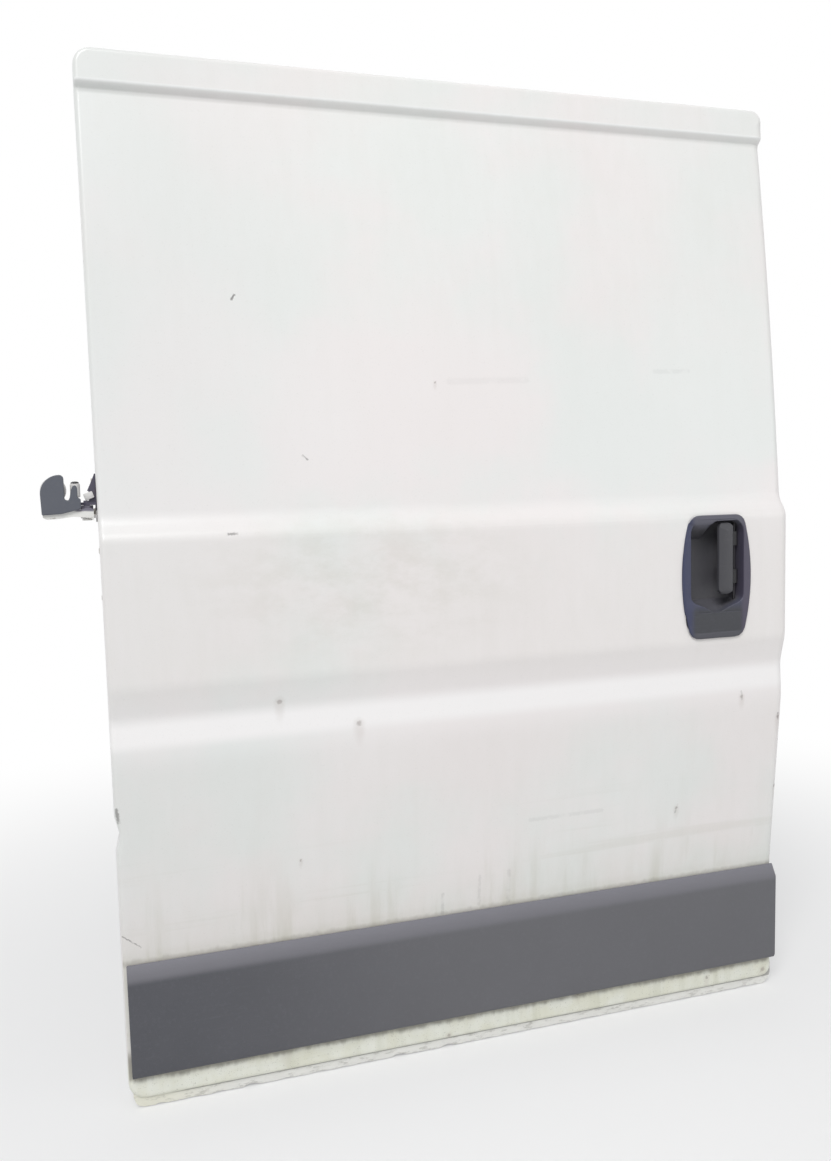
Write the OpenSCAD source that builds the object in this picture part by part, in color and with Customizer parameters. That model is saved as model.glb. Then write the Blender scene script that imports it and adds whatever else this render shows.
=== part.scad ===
// Side loading door of a panel van: a pressed steel skin on a pressed inner
// panel, with its moulding, pull handle, rear roller arm, guide arms and latches.
// Millimetres. X runs from the rear edge to the front edge, Y from the street
// side into the vehicle and Z up. The origin is on the seal land, at the middle
// of its bottom run. Heights are counted from the lowest edge of the door.

/* [Door] */
// Width of the outer skin
door_w = 1165; // [1080:5:1300]
// Height from the bottom flange to the top edge
door_h = 1585; // [1500:5:1700]
// Thickness of the outer skin
skin_t = 2.5; // [1.5:0.1:3.5]
// Thickness of the inner panel
panel_t = 2.5; // [1.5:0.1:3.5]
// From the skin at the bottom edge to the seal land
shell_depth = 45; // [42:1:60]
// Height of the origin above the bottom edge
seal_h = 60; // [50:1:70]
// How far the seal land leans in at the top edge
top_lean = 45; // [35:1:50]

/* [Skin pressing] */
// Height of the skin's bottom edge above the bottom flange
hem_h = 16; // [10:1:20]
// Height of the lower edge of the belt
belt_h = 661; // [640:1:680]
// Height of the belt, from its lower edge to the shoulder
belt_tall = 219; // [212:1:225]
// How far the belt stands out from the bottom edge
belt_out = 41; // [36:1:46]
// Height of the shoulder above the belt
shoulder_tall = 26; // [20:1:32]
// How far the shoulder falls back
shoulder_in = 19; // [14:1:24]
// Depth of the fold below the belt
fold_in = 13; // [8:1:16]
// Height of the fold below the belt
fold_tall = 50; // [40:1:60]
// Height of the rounded strip below the fold
strip_tall = 54; // [40:1:60]
// Height of the band along the top edge
band_tall = 50; // [40:1:60]
// How far the skin leans in at the top edge
band_lean = 40; // [34:1:44]
// Depth of the groove below the top band
groove_deep = 10; // [6:1:12]
// Crown of the upper panel
upper_crown = 5; // [2:1:9]
// Radius of the corners of the skin
corner_r = 26; // [24:1:40]
// Radius of the skin's front edge
front_edge_r = 20; // [12:1:22]
// Radius of the skin's rear edge
rear_edge_r = 7; // [5:1:12]
// Radius of the skin's top and bottom edges
long_edge_r = 6; // [5:1:12]
// How far the skin turns back behind its face
skin_return = 28; // [26:1:36]

/* [Dented edge] */
// Height of the middle of the dent in the rear edge
dent_h = 438; // [400:1:480]
// Height of the dent
dent_tall = 60; // [40:2:80]
// Depth of the dent
dent_deep = 7; // [3:0.5:10]

/* [Side moulding] */
// Height of the moulding's lower edge
moulding_h = 55; // [45:1:60]
// Height of the moulding
moulding_tall = 176; // [150:1:185]
// How far the moulding stands out
moulding_out = 15; // [10:1:20]
// Height of the sloped face along its top
moulding_bevel = 20; // [12:1:28]
// From the ends of the moulding to the edges of the skin
moulding_end = 6; // [4:1:20]
// Wall thickness of the moulding
moulding_t = 3; // [2:0.5:5]

/* [Inner panel] */
// Width of the seal land at the sides and the top
land_w = 45; // [35:1:55]
// Height of the seal land along the bottom
land_bottom = 80; // [78:1:95]
// How far the middle of the panel stands in from the seal land
plug_in = 22; // [16:1:28]
// Corner radius of the middle of the panel
plug_r = 60; // [45:1:80]
// Lower edge of the upper aperture
aperture_lo = 960; // [950:1:1000]
// From the upper aperture to the top of the door
aperture_top = 122; // [110:1:140]
// From the upper aperture to the edges of the door
aperture_side = 112; // [100:1:130]
// Corner radius of the upper aperture
aperture_r = 70; // [40:1:90]
// Width of each access hole
access_w = 230; // [150:1:240]
// Height of each access hole
access_tall = 150; // [100:1:160]
// Middle height of the access holes
access_h = 775; // [770:1:785]
// How far the edges of the apertures turn back
aperture_flange = 12; // [8:1:16]
// How far the stiffening beads stand in from the panel
bead_in = 6; // [4:0.5:8]

/* [Handle] */
// Width of the handle bezel at its middle
bezel_w = 136; // [126:1:146]
// Height of the handle bezel
bezel_tall = 214; // [200:1:218]
// From the bezel's middle to the front edge of the skin
bezel_inset = 151; // [140:1:170]
// How far the bezel stands out from the belt
bezel_out = 5; // [3:1:8]
// Depth of the finger bowl behind the bezel's face
bowl_deep = 42; // [38:1:46]
// Wall thickness of the bezel and bowl
bowl_t = 3; // [2:0.5:4]
// Width of the grip
grip_w = 30; // [24:1:34]
// Height of the grip
grip_tall = 124; // [110:1:130]
// Thickness of the grip
grip_t = 13; // [10:1:15]
// Diameter of the grip's pivot pin
grip_pin_d = 5; // [4:0.5:6]
// From the bezel's middle down to the lip below the bowl
chin_drop = 93; // [88:1:96]
// How far the bowl's lower edge sinks from its sides to its middle
bowl_sag = 20; // [14:1:24]

/* [Rear roller arm] */
// Middle height of the arm's hub
arm_h = 921; // [915:1:930]
// Reach of the arm behind the rear edge
arm_reach = 77; // [74:1:95]
// From the rear edge of the skin to the arm's pivot
pivot_out = 14; // [13:1:18]
// Height of the arm's hub
hub_tall = 14; // [12:1:18]
// Diameter of the arm's hub
hub_d = 18; // [17:1:20]
// Diameter of the arm's pivot pin
arm_pin_d = 9; // [8:1:10]
// Thickness of the arm's plate
arm_t = 4; // [3:0.5:6]
// Diameter of the load roller
load_roller_d = 36; // [32:1:38]
// Width of the load roller
load_roller_w = 14; // [10:1:16]
// Diameter of each guide roller
guide_roller_d = 14; // [12:1:15]
// Height of each guide roller
guide_roller_tall = 20; // [14:1:22]
// Height of the round cover plate
cover_tall = 57; // [50:1:62]
// Width of the round cover plate
cover_w = 33; // [28:1:40]
// Height of the finger beside the cover plate, in front of the guide roller
finger_tall = 42; // [38:1:46]

/* [Guide arms] */
// Reach of the upper guide arm into the vehicle
upper_reach = 95; // [80:1:130]
// Reach of the lower guide arm into the vehicle
lower_reach = 150; // [120:1:180]
// Diameter of the upper guide roller
upper_roller_d = 28; // [22:1:32]
// Diameter of the lower load roller
lower_roller_d = 38; // [30:1:42]
// Width of each guide arm's roller
arm_roller_w = 17; // [14:1:20]
// Diameter of the guide arms' roller pins
arm_roller_pin_d = 8; // [6:1:10]

/* [Inside fittings] */
// Middle height of the latches
latch_h = 825; // [810:1:840]
// Height of each latch
latch_tall = 90; // [80:1:110]
// Depth of each latch
latch_deep = 40; // [36:1:46]
// Thickness of each latch
latch_t = 18; // [15:1:22]
// Height of the latch mouth
mouth_tall = 16; // [14:0.5:20]
// Length of the inner handle
inner_handle_w = 180; // [150:1:200]
// Height of the inner handle
inner_handle_tall = 84; // [70:1:90]
// Height of the trim above its lower edge
trim_tall = 534; // [480:1:545]
// Thickness of the trim
trim_t = 4; // [3:0.5:5]

/* [Fits] */
// Gap between a piece and its seat
seat_gap = 0.3; // [0.2:0.05:0.5]
// Radial clearance of a turning hole on its pin
run_gap = 0.05; // [0.03:0.01:0.08]

/* [Hidden] */
$fn = 48;
eps = 0.01;

half_w = door_w / 2;
rear_x = -half_w;
belt_top = belt_h + belt_tall;
shoulder_top = belt_top + shoulder_tall;
fold_h = belt_h - fold_tall;
strip_h = fold_h - strip_tall;
band_h = door_h - band_tall;
moulding_top = moulding_h + moulding_tall;
skin_clear = skin_t + seat_gap;

// Height above the bottom edge as a Z value
function level(h) = h - seal_h;

// Pressing lines of the skin, bottom to top: [height, outward offset, bend length]
groove_h = band_h - 7;
upper_from = [shoulder_top, belt_out - shoulder_in];
upper_to = [groove_h - 3, -band_lean + 4 - groove_deep];
upper_steps = 12;
press_lines = concat(
    [
        [hem_h, 4, 0],
        [moulding_h - 6, 3, 8],
        [moulding_top + 3, 1, 10],
        [strip_h, belt_out - fold_in + 4, 20],
        [fold_h, belt_out - fold_in, 12],
        [belt_h, belt_out, 9],
        [belt_top, belt_out, 10],
        [upper_from[0], upper_from[1], 11]
    ],
    [for (i = [1:upper_steps - 1]) let (t = i / upper_steps)
        [
            upper_from[0] + (upper_to[0] - upper_from[0]) * t,
            upper_from[1] + (upper_to[1] - upper_from[1]) * t + 4 * upper_crown * t * (1 - t),
            0
        ]],
    [
        [upper_to[0], upper_to[1], 4],
        [groove_h + 1, upper_to[1] + 1, 2],
        [band_h + 2, -band_lean + 4, 3],
        [door_h, -band_lean, 0]
    ]
);
bend_steps = 4;

// Rounds every bend of a pressing with a short curve
function part_way(from, to, length) =
    [from[0], from[1]] + [to[0] - from[0], to[1] - from[1]] * length / norm([to[0] - from[0], to[1] - from[1]]);
function softened(lines) = [
    for (i = [0:len(lines) - 1])
        each lines[i][2] == 0
            ? [[lines[i][0], lines[i][1]]]
            : let (a = part_way(lines[i], lines[i - 1], lines[i][2]),
                b = part_way(lines[i], lines[i + 1], lines[i][2]),
                p = [lines[i][0], lines[i][1]])
                [for (k = [0:bend_steps]) let (t = k / bend_steps) a * (1 - t) * (1 - t) + p * 2 * t * (1 - t) + b * t * t]
];
press = softened(press_lines);
function skin_y(h) = -shell_depth - lookup(h, press);

// Seal land: upright below the shoulder, leaning in above it
land_steps = 8;
lean_from = belt_top;
land_line = concat(
    [[0, 0]],
    [for (i = [0:land_steps]) let (t = i / land_steps)
        [lean_from + (door_h - lean_from) * t, top_lean * t - 4 * upper_crown * t * (1 - t)]]
);
function land_y(h) = lookup(h, land_line);
// A strip that follows the land between two heights, from a to b in front of it
function land_strip(lo, hi, a, b) = [
    [land_y(lo) + a, level(lo)], [land_y(hi) + a, level(hi)], [land_y(hi) + b, level(hi)], [land_y(lo) + b, level(lo)]
];

// Flat outlines and straight pressings
module rounded(x0, x1, z0, z1, r) {
    translate([x0 + r, z0]) square([x1 - x0 - 2 * r, z1 - z0]);
    translate([x0, z0 + r]) square([x1 - x0, z1 - z0 - 2 * r]);
    for (x = [x0 + r, x1 - r], z = [z0 + r, z1 - r]) translate([x, z]) circle(r);
}
module along_x(x0, x1) {
    translate([x0, 0, 0]) rotate([90, 0, 90]) linear_extrude(x1 - x0) children();
}
module along_z(z0, z1) {
    translate([0, 0, z0]) linear_extrude(z1 - z0) children();
}
module along_y(y0, y1) {
    translate([0, y1, 0]) rotate([90, 0, 0]) linear_extrude(y1 - y0) children();
}
module rod_x(x0, x1, d) {
    translate([x0, 0, 0]) rotate([0, 90, 0]) cylinder(d = d, h = x1 - x0);
}
module rod_y(y0, y1, d) {
    translate([0, y0, 0]) rotate([-90, 0, 0]) cylinder(d = d, h = y1 - y0);
}

// A pressing is lofted from closed rings, from its rim to the middle, once for
// its outer face and once for its inner face
corner_steps = 5;
// One ring: half width, lowest and highest height, corner radius of each side
function ring(w, lo, hi, r, levels) = concat(
    [for (i = [0:corner_steps]) let (a = -90 + 90 * i / corner_steps) [w - r + r * cos(a), lo + r + r * sin(a)]],
    [for (h = levels) [w, h]],
    [for (i = [0:corner_steps]) let (a = 90 * i / corner_steps) [w - r + r * cos(a), hi - r + r * sin(a)]],
    [for (i = [0:corner_steps]) let (a = 90 - 90 * i / corner_steps) [-w + r - r * cos(a), hi - r + r * sin(a)]],
    [for (i = [len(levels) - 1:-1:0]) [-w, levels[i]]],
    [for (i = [0:corner_steps]) let (a = -90 * i / corner_steps) [-w + r - r * cos(a), lo + r + r * sin(a)]]
);
function band(a, b, i, n) = let (j = (i + 1) % n) [[a + i, b + j, b + i], [a + i, a + j, b + j]];
function turned(f) = [f[0], f[2], f[1]];
function infill(base, n) = [
    for (i = [0:n / 2 - 2]) each [
        [base + i, base + n - 2 - i, base + n - 1 - i],
        [base + i, base + i + 1, base + n - 2 - i]
    ]
];
module pressing(outer_rings, inner_rings) {
    n = len(outer_rings[0]);
    count = len(outer_rings);
    inner = count * n;
    last = (count - 1) * n;
    polyhedron(
        [for (r = concat(outer_rings, inner_rings)) each r],
        concat(
            [for (k = [0:count - 2], i = [0:n - 1]) each band(k * n, (k + 1) * n, i, n)],
            [for (k = [0:count - 2], i = [0:n - 1], f = band(inner + k * n, inner + (k + 1) * n, i, n)) turned(f)],
            [for (i = [0:n - 1], f = band(0, inner, i, n)) turned(f)],
            infill(last, n),
            [for (f = infill(inner + last, n)) turned(f)]
        )
    );
}

// The rear edge is knocked in over a short height
dent_levels = [for (t = [-1:0.5:1]) dent_h + t * dent_tall / 2];
function dent(x, h) = x > 0 ? 0 : dent_deep / 2 * (1 + cos(180 * min(abs(h - dent_h) * 2 / dent_tall, 1)));
function sorted(v) = len(v) < 2 ? v : let (m = v[floor(len(v) / 2)])
    concat(sorted([for (x = v) if (x < m) x]), [m], sorted([for (x = v) if (x > m) x]));

// Outer skin: the front edge turns back on a larger radius than the rear edge
edge_steps = 5;
skin_levels = sorted(concat(dent_levels, [for (p = press) if (p[0] > hem_h + corner_r && p[0] < door_h - corner_r) p[0]]));
skin_ring_up = ring(half_w, hem_h, door_h, corner_r, skin_levels);
skin_outline = [for (i = [len(skin_ring_up) - 1:-1:0]) skin_ring_up[i]];
function edge_r(x, h) =
    let (side = x > 0 ? front_edge_r : rear_edge_r,
        t = min(max(min(h - hem_h, door_h - h), 0) / corner_r, 1))
        long_edge_r + (side - long_edge_r) * t;
function inset_point(q, s) =
    let (cx = (half_w - corner_r) * sign(q[0]),
        ch = min(max(q[1], hem_h + corner_r), door_h - corner_r),
        u = [q[0] - cx, q[1] - ch] / corner_r)
        [q[0] - u[0] * s, q[1] - u[1] * s];
function skin_ring(k, wall) = [
    for (q = skin_outline)
        let (r = edge_r(q[0], q[1]),
            a = 90 * (k - 1) / edge_steps,
            s = k == 0 ? wall : r - (r - wall) * cos(a),
            drop = k == 0 ? skin_return : r - (r - wall) * sin(a),
            p = inset_point(q, s))
            [p[0] + dent(q[0], p[1]), skin_y(p[1]) + drop, level(p[1])]
];
module outer_skin() {
    color("white")
        difference() {
            pressing([for (k = [0:edge_steps + 1]) skin_ring(k, 0)], [for (k = [0:edge_steps + 1]) skin_ring(k, skin_t)]);
            along_y(skin_y(belt_h) - 20, skin_y(belt_h) + 20) handle_opening(0);
        }
}

// Inner panel: a tray behind the skin, its seal land, and the raised middle
tray_lo = hem_h + skin_clear;
tray_hi = door_h - skin_clear;
tray_half = half_w - skin_clear;
tray_r = corner_r - skin_clear;
tray_start = max(front_edge_r, rear_edge_r, long_edge_r) + 3;
plug_lo = hem_h + land_bottom;
plug_hi = door_h - land_w;
plug_half = half_w - land_w;
press_r = 6;
plug_draft = 4;
panel_levels = concat(
    [plug_lo + plug_r + 1, moulding_top + 3],
    dent_levels,
    [strip_h, fold_h, belt_h, lean_from, shoulder_top],
    [for (p = land_line) if (p[0] > shoulder_top + 10 && p[0] < plug_hi - plug_r - 5) p[0]],
    [groove_h - 12, groove_h - 3, groove_h + 1, band_h + 2]
);
// The raised middle ends lower than the tray, so its last levels close up
plug_levels = [for (i = [0:len(panel_levels) - 1])
    min(panel_levels[i], plug_hi - plug_r - 1 - (len(panel_levels) - 1 - i) / 2)];
function tray_ring(cut, from_skin, rise) = [
    for (q = ring(tray_half - cut, tray_lo + cut, tray_hi - cut, tray_r - cut, panel_levels))
        [q[0] + dent(q[0], q[1]), (from_skin ? skin_y(q[1]) : land_y(q[1])) + rise, level(q[1])]
];
function plug_ring(cut, rise) = [
    for (q = ring(plug_half - cut, plug_lo + cut, plug_hi - cut, plug_r - cut, plug_levels)) [q[0], land_y(q[1]) + rise, level(q[1])]
];
// The rings of one face of the panel, a wall thickness in from its outside
function panel_rings(t) = [
    tray_ring(t, true, tray_start),
    tray_ring(t, false, -press_r),
    tray_ring(press_r - (press_r - t) * cos(45), false, -press_r + (press_r - t) * sin(45)),
    tray_ring(press_r, false, -t),
    plug_ring(t - 2, -t),
    plug_ring(t, 2 - t),
    plug_ring(plug_draft + t, plug_in - press_r),
    plug_ring(plug_draft + press_r - (press_r - t) * cos(45), plug_in - press_r + (press_r - t) * sin(45)),
    plug_ring(plug_draft + press_r, plug_in - t)
];
access_x = [-330, -40];
access_r = 40;
inner_inset = 200;
inner_x = half_w - inner_inset;
upper_inset = 105;
upper_x = half_w - upper_inset;
upper_plate_w = 80;
module aperture_outline(grow) {
    rounded(-half_w + aperture_side - grow, half_w - aperture_side + grow,
        level(aperture_lo - grow), level(door_h - aperture_top + grow), aperture_r + grow);
}
module access_outline(x, grow) {
    w = access_w / 2 + grow;
    t = access_tall / 2 + grow;
    rounded(x - w, x + w, level(access_h - t), level(access_h + t), access_r + grow);
}
// Everything between two distances from the land, on the panel's own lean
function leaning(lo, hi, a, b) = let (steps = concat([lo], [for (p = land_line) if (p[0] > lo && p[0] < hi) p[0]], [hi]))
    concat([for (h = steps) [land_y(h) + a, level(h)]], [for (i = [len(steps) - 1:-1:0]) [land_y(steps[i]) + b, level(steps[i])]]);
module turned_edge(grow) {
    intersection() {
        along_y(-half_w, half_w) difference() {
            children(0);
            children(1);
        }
        along_x(-half_w, half_w) polygon(leaning(plug_lo, plug_hi, plug_in - grow, plug_in - panel_t / 2));
    }
}
// Stiffening beads: height, from, to; each ends beside the fitting that it meets
bead_r = 14;
bead_half = 430;
bead_stop = inner_x - inner_handle_w / 2 - 2 * bead_r;
beads = [
    [aperture_lo - 36, -bead_half, bead_stop],
    [door_h - aperture_top + 34, -bead_half, upper_x - upper_plate_w / 2 - 2 * bead_r],
    [access_h - access_tall / 2 - 22, -bead_half, bead_stop]
];
module bead_core(b, r) {
    y = land_y(b[0]) + plug_in + bead_in - bead_r;
    translate([0, y, level(b[0])]) {
        rod_x(b[1], b[2], 2 * r);
        for (x = [b[1], b[2]]) translate([x, 0, 0]) sphere(r);
    }
}
flange_y = skin_y(hem_h) + skin_return + seat_gap;
module inner_panel() {
    color("gainsboro")
        difference() {
            union() {
                difference() {
                    pressing(panel_rings(0), panel_rings(panel_t));
                    along_y(-half_w, half_w) {
                        aperture_outline(0);
                        for (x = access_x) access_outline(x, 0);
                    }
                }
                turned_edge(aperture_flange) {
                    aperture_outline(panel_t);
                    aperture_outline(0);
                }
                for (x = access_x)
                    turned_edge(aperture_flange - 4) {
                        access_outline(x, panel_t);
                        access_outline(x, 0);
                    }
                for (b = beads)
                    intersection() {
                        bead_core(b, bead_r);
                        along_x(-half_w, half_w)
                            polygon(leaning(b[0] - 2 * bead_r, b[0] + 2 * bead_r, plug_in - panel_t / 2, plug_in + 2 * bead_in));
                    }
                translate([-half_w + corner_r, flange_y, level(0)]) cube([door_w - 2 * corner_r, panel_t, tray_lo + panel_t / 2]);
            }
            for (b = beads) bead_core(b, bead_r - panel_t);
            latch_mouth(1);
            latch_mouth(-1);
        }
}

// Two channels bonded behind the upper part of the skin
brace_w = 70;
brace_deep = 16;
brace_levels = concat([aperture_lo - 20], [for (p = press) if (p[0] > aperture_lo - 19 && p[0] < groove_h - 24) p[0]], [groove_h - 20]);
function brace_section(a, b) = concat(
    [for (h = brace_levels) [skin_y(h) + a, level(h)]],
    [for (i = [len(brace_levels) - 1:-1:0]) [skin_y(brace_levels[i]) + b, level(brace_levels[i])]]
);
module upper_braces() {
    color("gainsboro")
        for (x = [-door_w / 5, door_w / 5])
            difference() {
                along_x(x - brace_w / 2, x + brace_w / 2) polygon(brace_section(skin_clear, skin_clear + brace_deep));
                along_x(x - brace_w / 2 + panel_t, x + brace_w / 2 - panel_t)
                    polygon(brace_section(skin_clear - 1, skin_clear + brace_deep - panel_t));
            }
}

// Tube that runs across the door behind the belt, on a foot plate at each end
beam_d = 28;
beam_h = 730;
beam_y = -24;
foot_t = 3;
foot_deep = 44;
foot_tall = 52;
module side_impact_beam() {
    inner_x = tray_half - panel_t - seat_gap;
    color("dimgray")
        translate([0, beam_y, level(beam_h)]) {
            rod_x(-inner_x + foot_t, inner_x - foot_t, beam_d);
            for (x = [-inner_x, inner_x - foot_t]) translate([x, -foot_tall / 2, -foot_tall / 2]) cube([foot_t, foot_deep, foot_tall]);
        }
}

// Moulding along the bottom of the skin
lip_in = 6;
module side_moulding() {
    steps = [moulding_h, moulding_h + 8, moulding_top - 10, moulding_top];
    face_top = moulding_top - moulding_bevel;
    left = rear_x + moulding_end;
    right = half_w - moulding_end;
    color("slategray")
        difference() {
            along_x(left, right) polygon(concat(
                [for (h = steps) [skin_y(h) - seat_gap, level(h)]],
                [
                    [skin_y(moulding_top) - moulding_t, level(moulding_top)],
                    [skin_y(moulding_top) - moulding_out, level(face_top)],
                    [skin_y(moulding_h) - moulding_out + moulding_t, level(moulding_h + lip_in)],
                    [skin_y(moulding_h) - moulding_out + 2 * moulding_t, level(moulding_h)]
                ]
            ));
            along_x(left + moulding_t, right - moulding_t) polygon([
                [0, level(moulding_h + moulding_t)],
                [0, level(moulding_top - 2 * moulding_t)],
                [skin_y(moulding_top) - moulding_t, level(moulding_top - 2 * moulding_t)],
                [skin_y(moulding_top) - moulding_out + moulding_t, level(face_top - moulding_t)],
                [skin_y(moulding_h) - moulding_out + 2 * moulding_t, level(moulding_h + lip_in)],
                [skin_y(moulding_h) - moulding_out + 3 * moulding_t, level(moulding_h + moulding_t)]
            ]);
        }
}

// Rubber strip on the bottom flange, with a hollow bulb
seal_tall = 14;
seal_t = 3;
bulb_d = 11;
module bottom_seal() {
    y = flange_y + panel_t + seat_gap;
    color("black")
        along_x(-half_w + corner_r + 4, half_w - corner_r - 4)
            difference() {
                union() {
                    translate([y, level(1)]) square([seal_t, seal_tall]);
                    translate([y + bulb_d / 2 + 1, level(1 + bulb_d / 2)]) circle(d = bulb_d);
                }
                translate([y + bulb_d / 2 + 1, level(1 + bulb_d / 2)]) circle(d = bulb_d - 2 * seal_t + 1);
            }
}

// Handle: bezel with finger bowl, pin and grip
bezel_x = half_w - bezel_inset;
bezel_h = belt_h + belt_tall / 2 + 3;
bezel_face = skin_y(belt_h + belt_tall / 2) - bezel_out;
bezel_bulge = 16;
bezel_corner = 24;
opening_side = 8;
opening_end = 5.5;
opening_r = 30;
bowl_left = -bezel_w / 2 + 17;
bowl_right = bezel_w / 2 - 12;
bowl_top = bezel_tall / 2 - 9;
bowl_bottom = -bezel_tall / 2 + 42;
bowl_r = 22;
bowl_side_slope = 6;
bowl_top_slope = 6;
bowl_floor_rise = 22;
dish_deep = 3;
chin_deep = 4;
chin_half = 46;
grip_x = bezel_x + 17;
grip_h = bezel_h + 31;
grip_r = 13;
grip_pin_x = bezel_x + 44;
grip_pin_y = bezel_face + 18;
grip_out = 2;
lug_tall = 24;
lug_d = 12;
lug_from_end = 29;
pin_seat = 2.5;
// A barrel outline: straight top and bottom, bulging sides
module bezel_outline() {
    arc_r = (pow(bezel_tall / 2, 2) + pow(bezel_bulge, 2)) / (2 * bezel_bulge);
    translate([bezel_x, level(bezel_h)])
        intersection() {
            rounded(-bezel_w / 2, bezel_w / 2, -bezel_tall / 2, bezel_tall / 2, bezel_corner);
            translate([bezel_w / 2 - arc_r, 0]) circle(arc_r, $fn = 180);
            translate([arc_r - bezel_w / 2, 0]) circle(arc_r, $fn = 180);
        }
}
module handle_opening(inset) {
    w = bezel_w / 2 - opening_side - inset;
    t = bezel_tall / 2 - opening_end - inset;
    translate([bezel_x, level(bezel_h)]) rounded(-w, w, -t, t, opening_r - inset);
}
// The bowl's mouth has a sagging lower edge; its left side and floor slope in
module bowl_mouth() {
    side = bowl_bottom + bowl_sag;
    translate([bezel_x, level(bezel_h)]) {
        rounded(bowl_left, bowl_right, side + bowl_r / 2, bowl_top, bowl_r);
        polygon([
            [bowl_left, 0], [bowl_left, side + 12], [bowl_left + 4, side + 4], [bowl_left + 12, side],
            [(bowl_left + bowl_right) / 2 - 6, bowl_bottom + 1], [(bowl_left + bowl_right) / 2 + 6, bowl_bottom + 1],
            [bowl_right - 12, side], [bowl_right - 4, side + 4], [bowl_right, side + 12], [bowl_right, 0]
        ]);
    }
}
module bowl_space(floor_y) {
    intersection() {
        along_y(bezel_face - 1, floor_y) bowl_mouth();
        along_z(level(bezel_h - bezel_tall), level(bezel_h + bezel_tall))
            translate([bezel_x, 0])
                polygon([
                    [bowl_left - 1, bezel_face - 1], [bowl_left, bezel_face + dish_deep], [bowl_left + bowl_side_slope, floor_y],
                    [bowl_right, floor_y], [bowl_right, bezel_face - 1]
                ]);
        along_x(bezel_x - bezel_w, bezel_x + bezel_w)
            translate([0, level(bezel_h)])
                polygon([
                    [bezel_face - 1, bowl_bottom - 1], [floor_y, bowl_bottom + bowl_floor_rise],
                    [floor_y, bowl_top - bowl_top_slope], [grip_pin_y, bowl_top], [bezel_face - 1, bowl_top]
                ]);
    }
}
module handle_bezel() {
    back = bezel_face + bowl_deep;
    color("black")
        difference() {
            union() {
                along_y(bezel_face, bezel_face + bezel_out - seat_gap) bezel_outline();
                along_y(bezel_face + bezel_out - seat_gap - eps, back) handle_opening(seat_gap);
            }
            bowl_space(back - bowl_t);
            // The left rim is dished towards the bowl
            intersection() {
                along_y(bezel_face - 1, bezel_face + dish_deep) translate([bezel_x, level(bezel_h)])
                    rounded(-bezel_w / 2 + 4, 0, bowl_bottom + bowl_sag / 2, bowl_top - 4, bowl_r);
                along_z(level(bezel_h - bezel_tall), level(bezel_h + bezel_tall)) translate([bezel_x, 0])
                    polygon([[-bezel_w / 2 + 4, bezel_face - 1], [-bezel_w / 2 + 4, bezel_face], [bowl_left, bezel_face + dish_deep], [0, bezel_face + dish_deep], [0, bezel_face - 1]]);
            }
            // The chin falls back towards the lip
            intersection() {
                along_y(bezel_face - 1, bezel_face + chin_deep) translate([bezel_x, level(bezel_h)])
                    polygon([
                        [-chin_half, bowl_bottom + bowl_sag - 3], [0, bowl_bottom - 3], [chin_half, bowl_bottom + bowl_sag - 3],
                        [chin_half - 12, -chin_drop], [-chin_half + 12, -chin_drop]
                    ]);
                along_x(bezel_x - bezel_w, bezel_x + bezel_w) translate([0, level(bezel_h)])
                    polygon([[bezel_face - 1, bowl_bottom + bowl_sag], [bezel_face, bowl_bottom + bowl_sag], [bezel_face + chin_deep, -chin_drop], [bezel_face - 1, -chin_drop]]);
            }
            translate([grip_pin_x, grip_pin_y, level(bezel_h) + bowl_bottom - pin_seat])
                cylinder(d = grip_pin_d, h = bowl_top - bowl_bottom + 2 * pin_seat);
        }
}
module handle_pin() {
    color("silver")
        translate([grip_pin_x, grip_pin_y, level(bezel_h) + bowl_bottom - pin_seat + seat_gap])
            cylinder(d = grip_pin_d - 2 * run_gap, h = bowl_top - bowl_bottom + 2 * pin_seat - 2 * seat_gap);
}
module handle_grip() {
    face = bezel_face - grip_out;
    w = grip_w / 2;
    half = grip_tall / 2;
    color("dimgray")
        difference() {
            union() {
                intersection() {
                    along_y(face, face + grip_t)
                        rounded(grip_x - w, grip_x + w, level(grip_h - half), level(grip_h + half), grip_r);
                    // Across: crowned face, thin left edge for the fingers
                    along_z(level(grip_h - half), level(grip_h + half))
                        translate([grip_x, face])
                            polygon([
                                [-w, 0.45 * grip_t], [-w + 1, 0.24 * grip_t], [-w + 4, 0.09 * grip_t], [-w + 9, 0.02 * grip_t], [0, 0],
                                [w - 8, 0.03 * grip_t], [w - 3, 0.13 * grip_t], [w, 0.35 * grip_t], [w, grip_t],
                                [-w + 9, grip_t], [-w + 4, 0.88 * grip_t], [-w, 0.68 * grip_t]
                            ]);
                    // Lengthways: both ends turn in
                    along_x(grip_x - w, grip_x + w)
                        translate([face, level(grip_h)])
                            polygon([
                                [0.45 * grip_t, -half], [0.15 * grip_t, 5 - half], [0, 14 - half], [0, half - 20],
                                [0.12 * grip_t, half - 9], [0.4 * grip_t, half - 2], [0.6 * grip_t, half], [grip_t, half], [grip_t, -half]
                            ]);
                }
                for (s = [-1, 1])
                    translate([0, 0, level(grip_h) + s * (half - lug_from_end) - lug_tall / 2]) {
                        translate([grip_x, face + grip_t - 1, 0]) cube([grip_pin_x - grip_x, grip_pin_y + 2 - face - grip_t + 1, lug_tall]);
                        translate([grip_pin_x, grip_pin_y, 0]) cylinder(d = lug_d, h = lug_tall);
                    }
            }
            translate([grip_pin_x, grip_pin_y, level(grip_h)])
                cylinder(d = grip_pin_d, h = 2 * grip_tall, center = true);
        }
}

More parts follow.
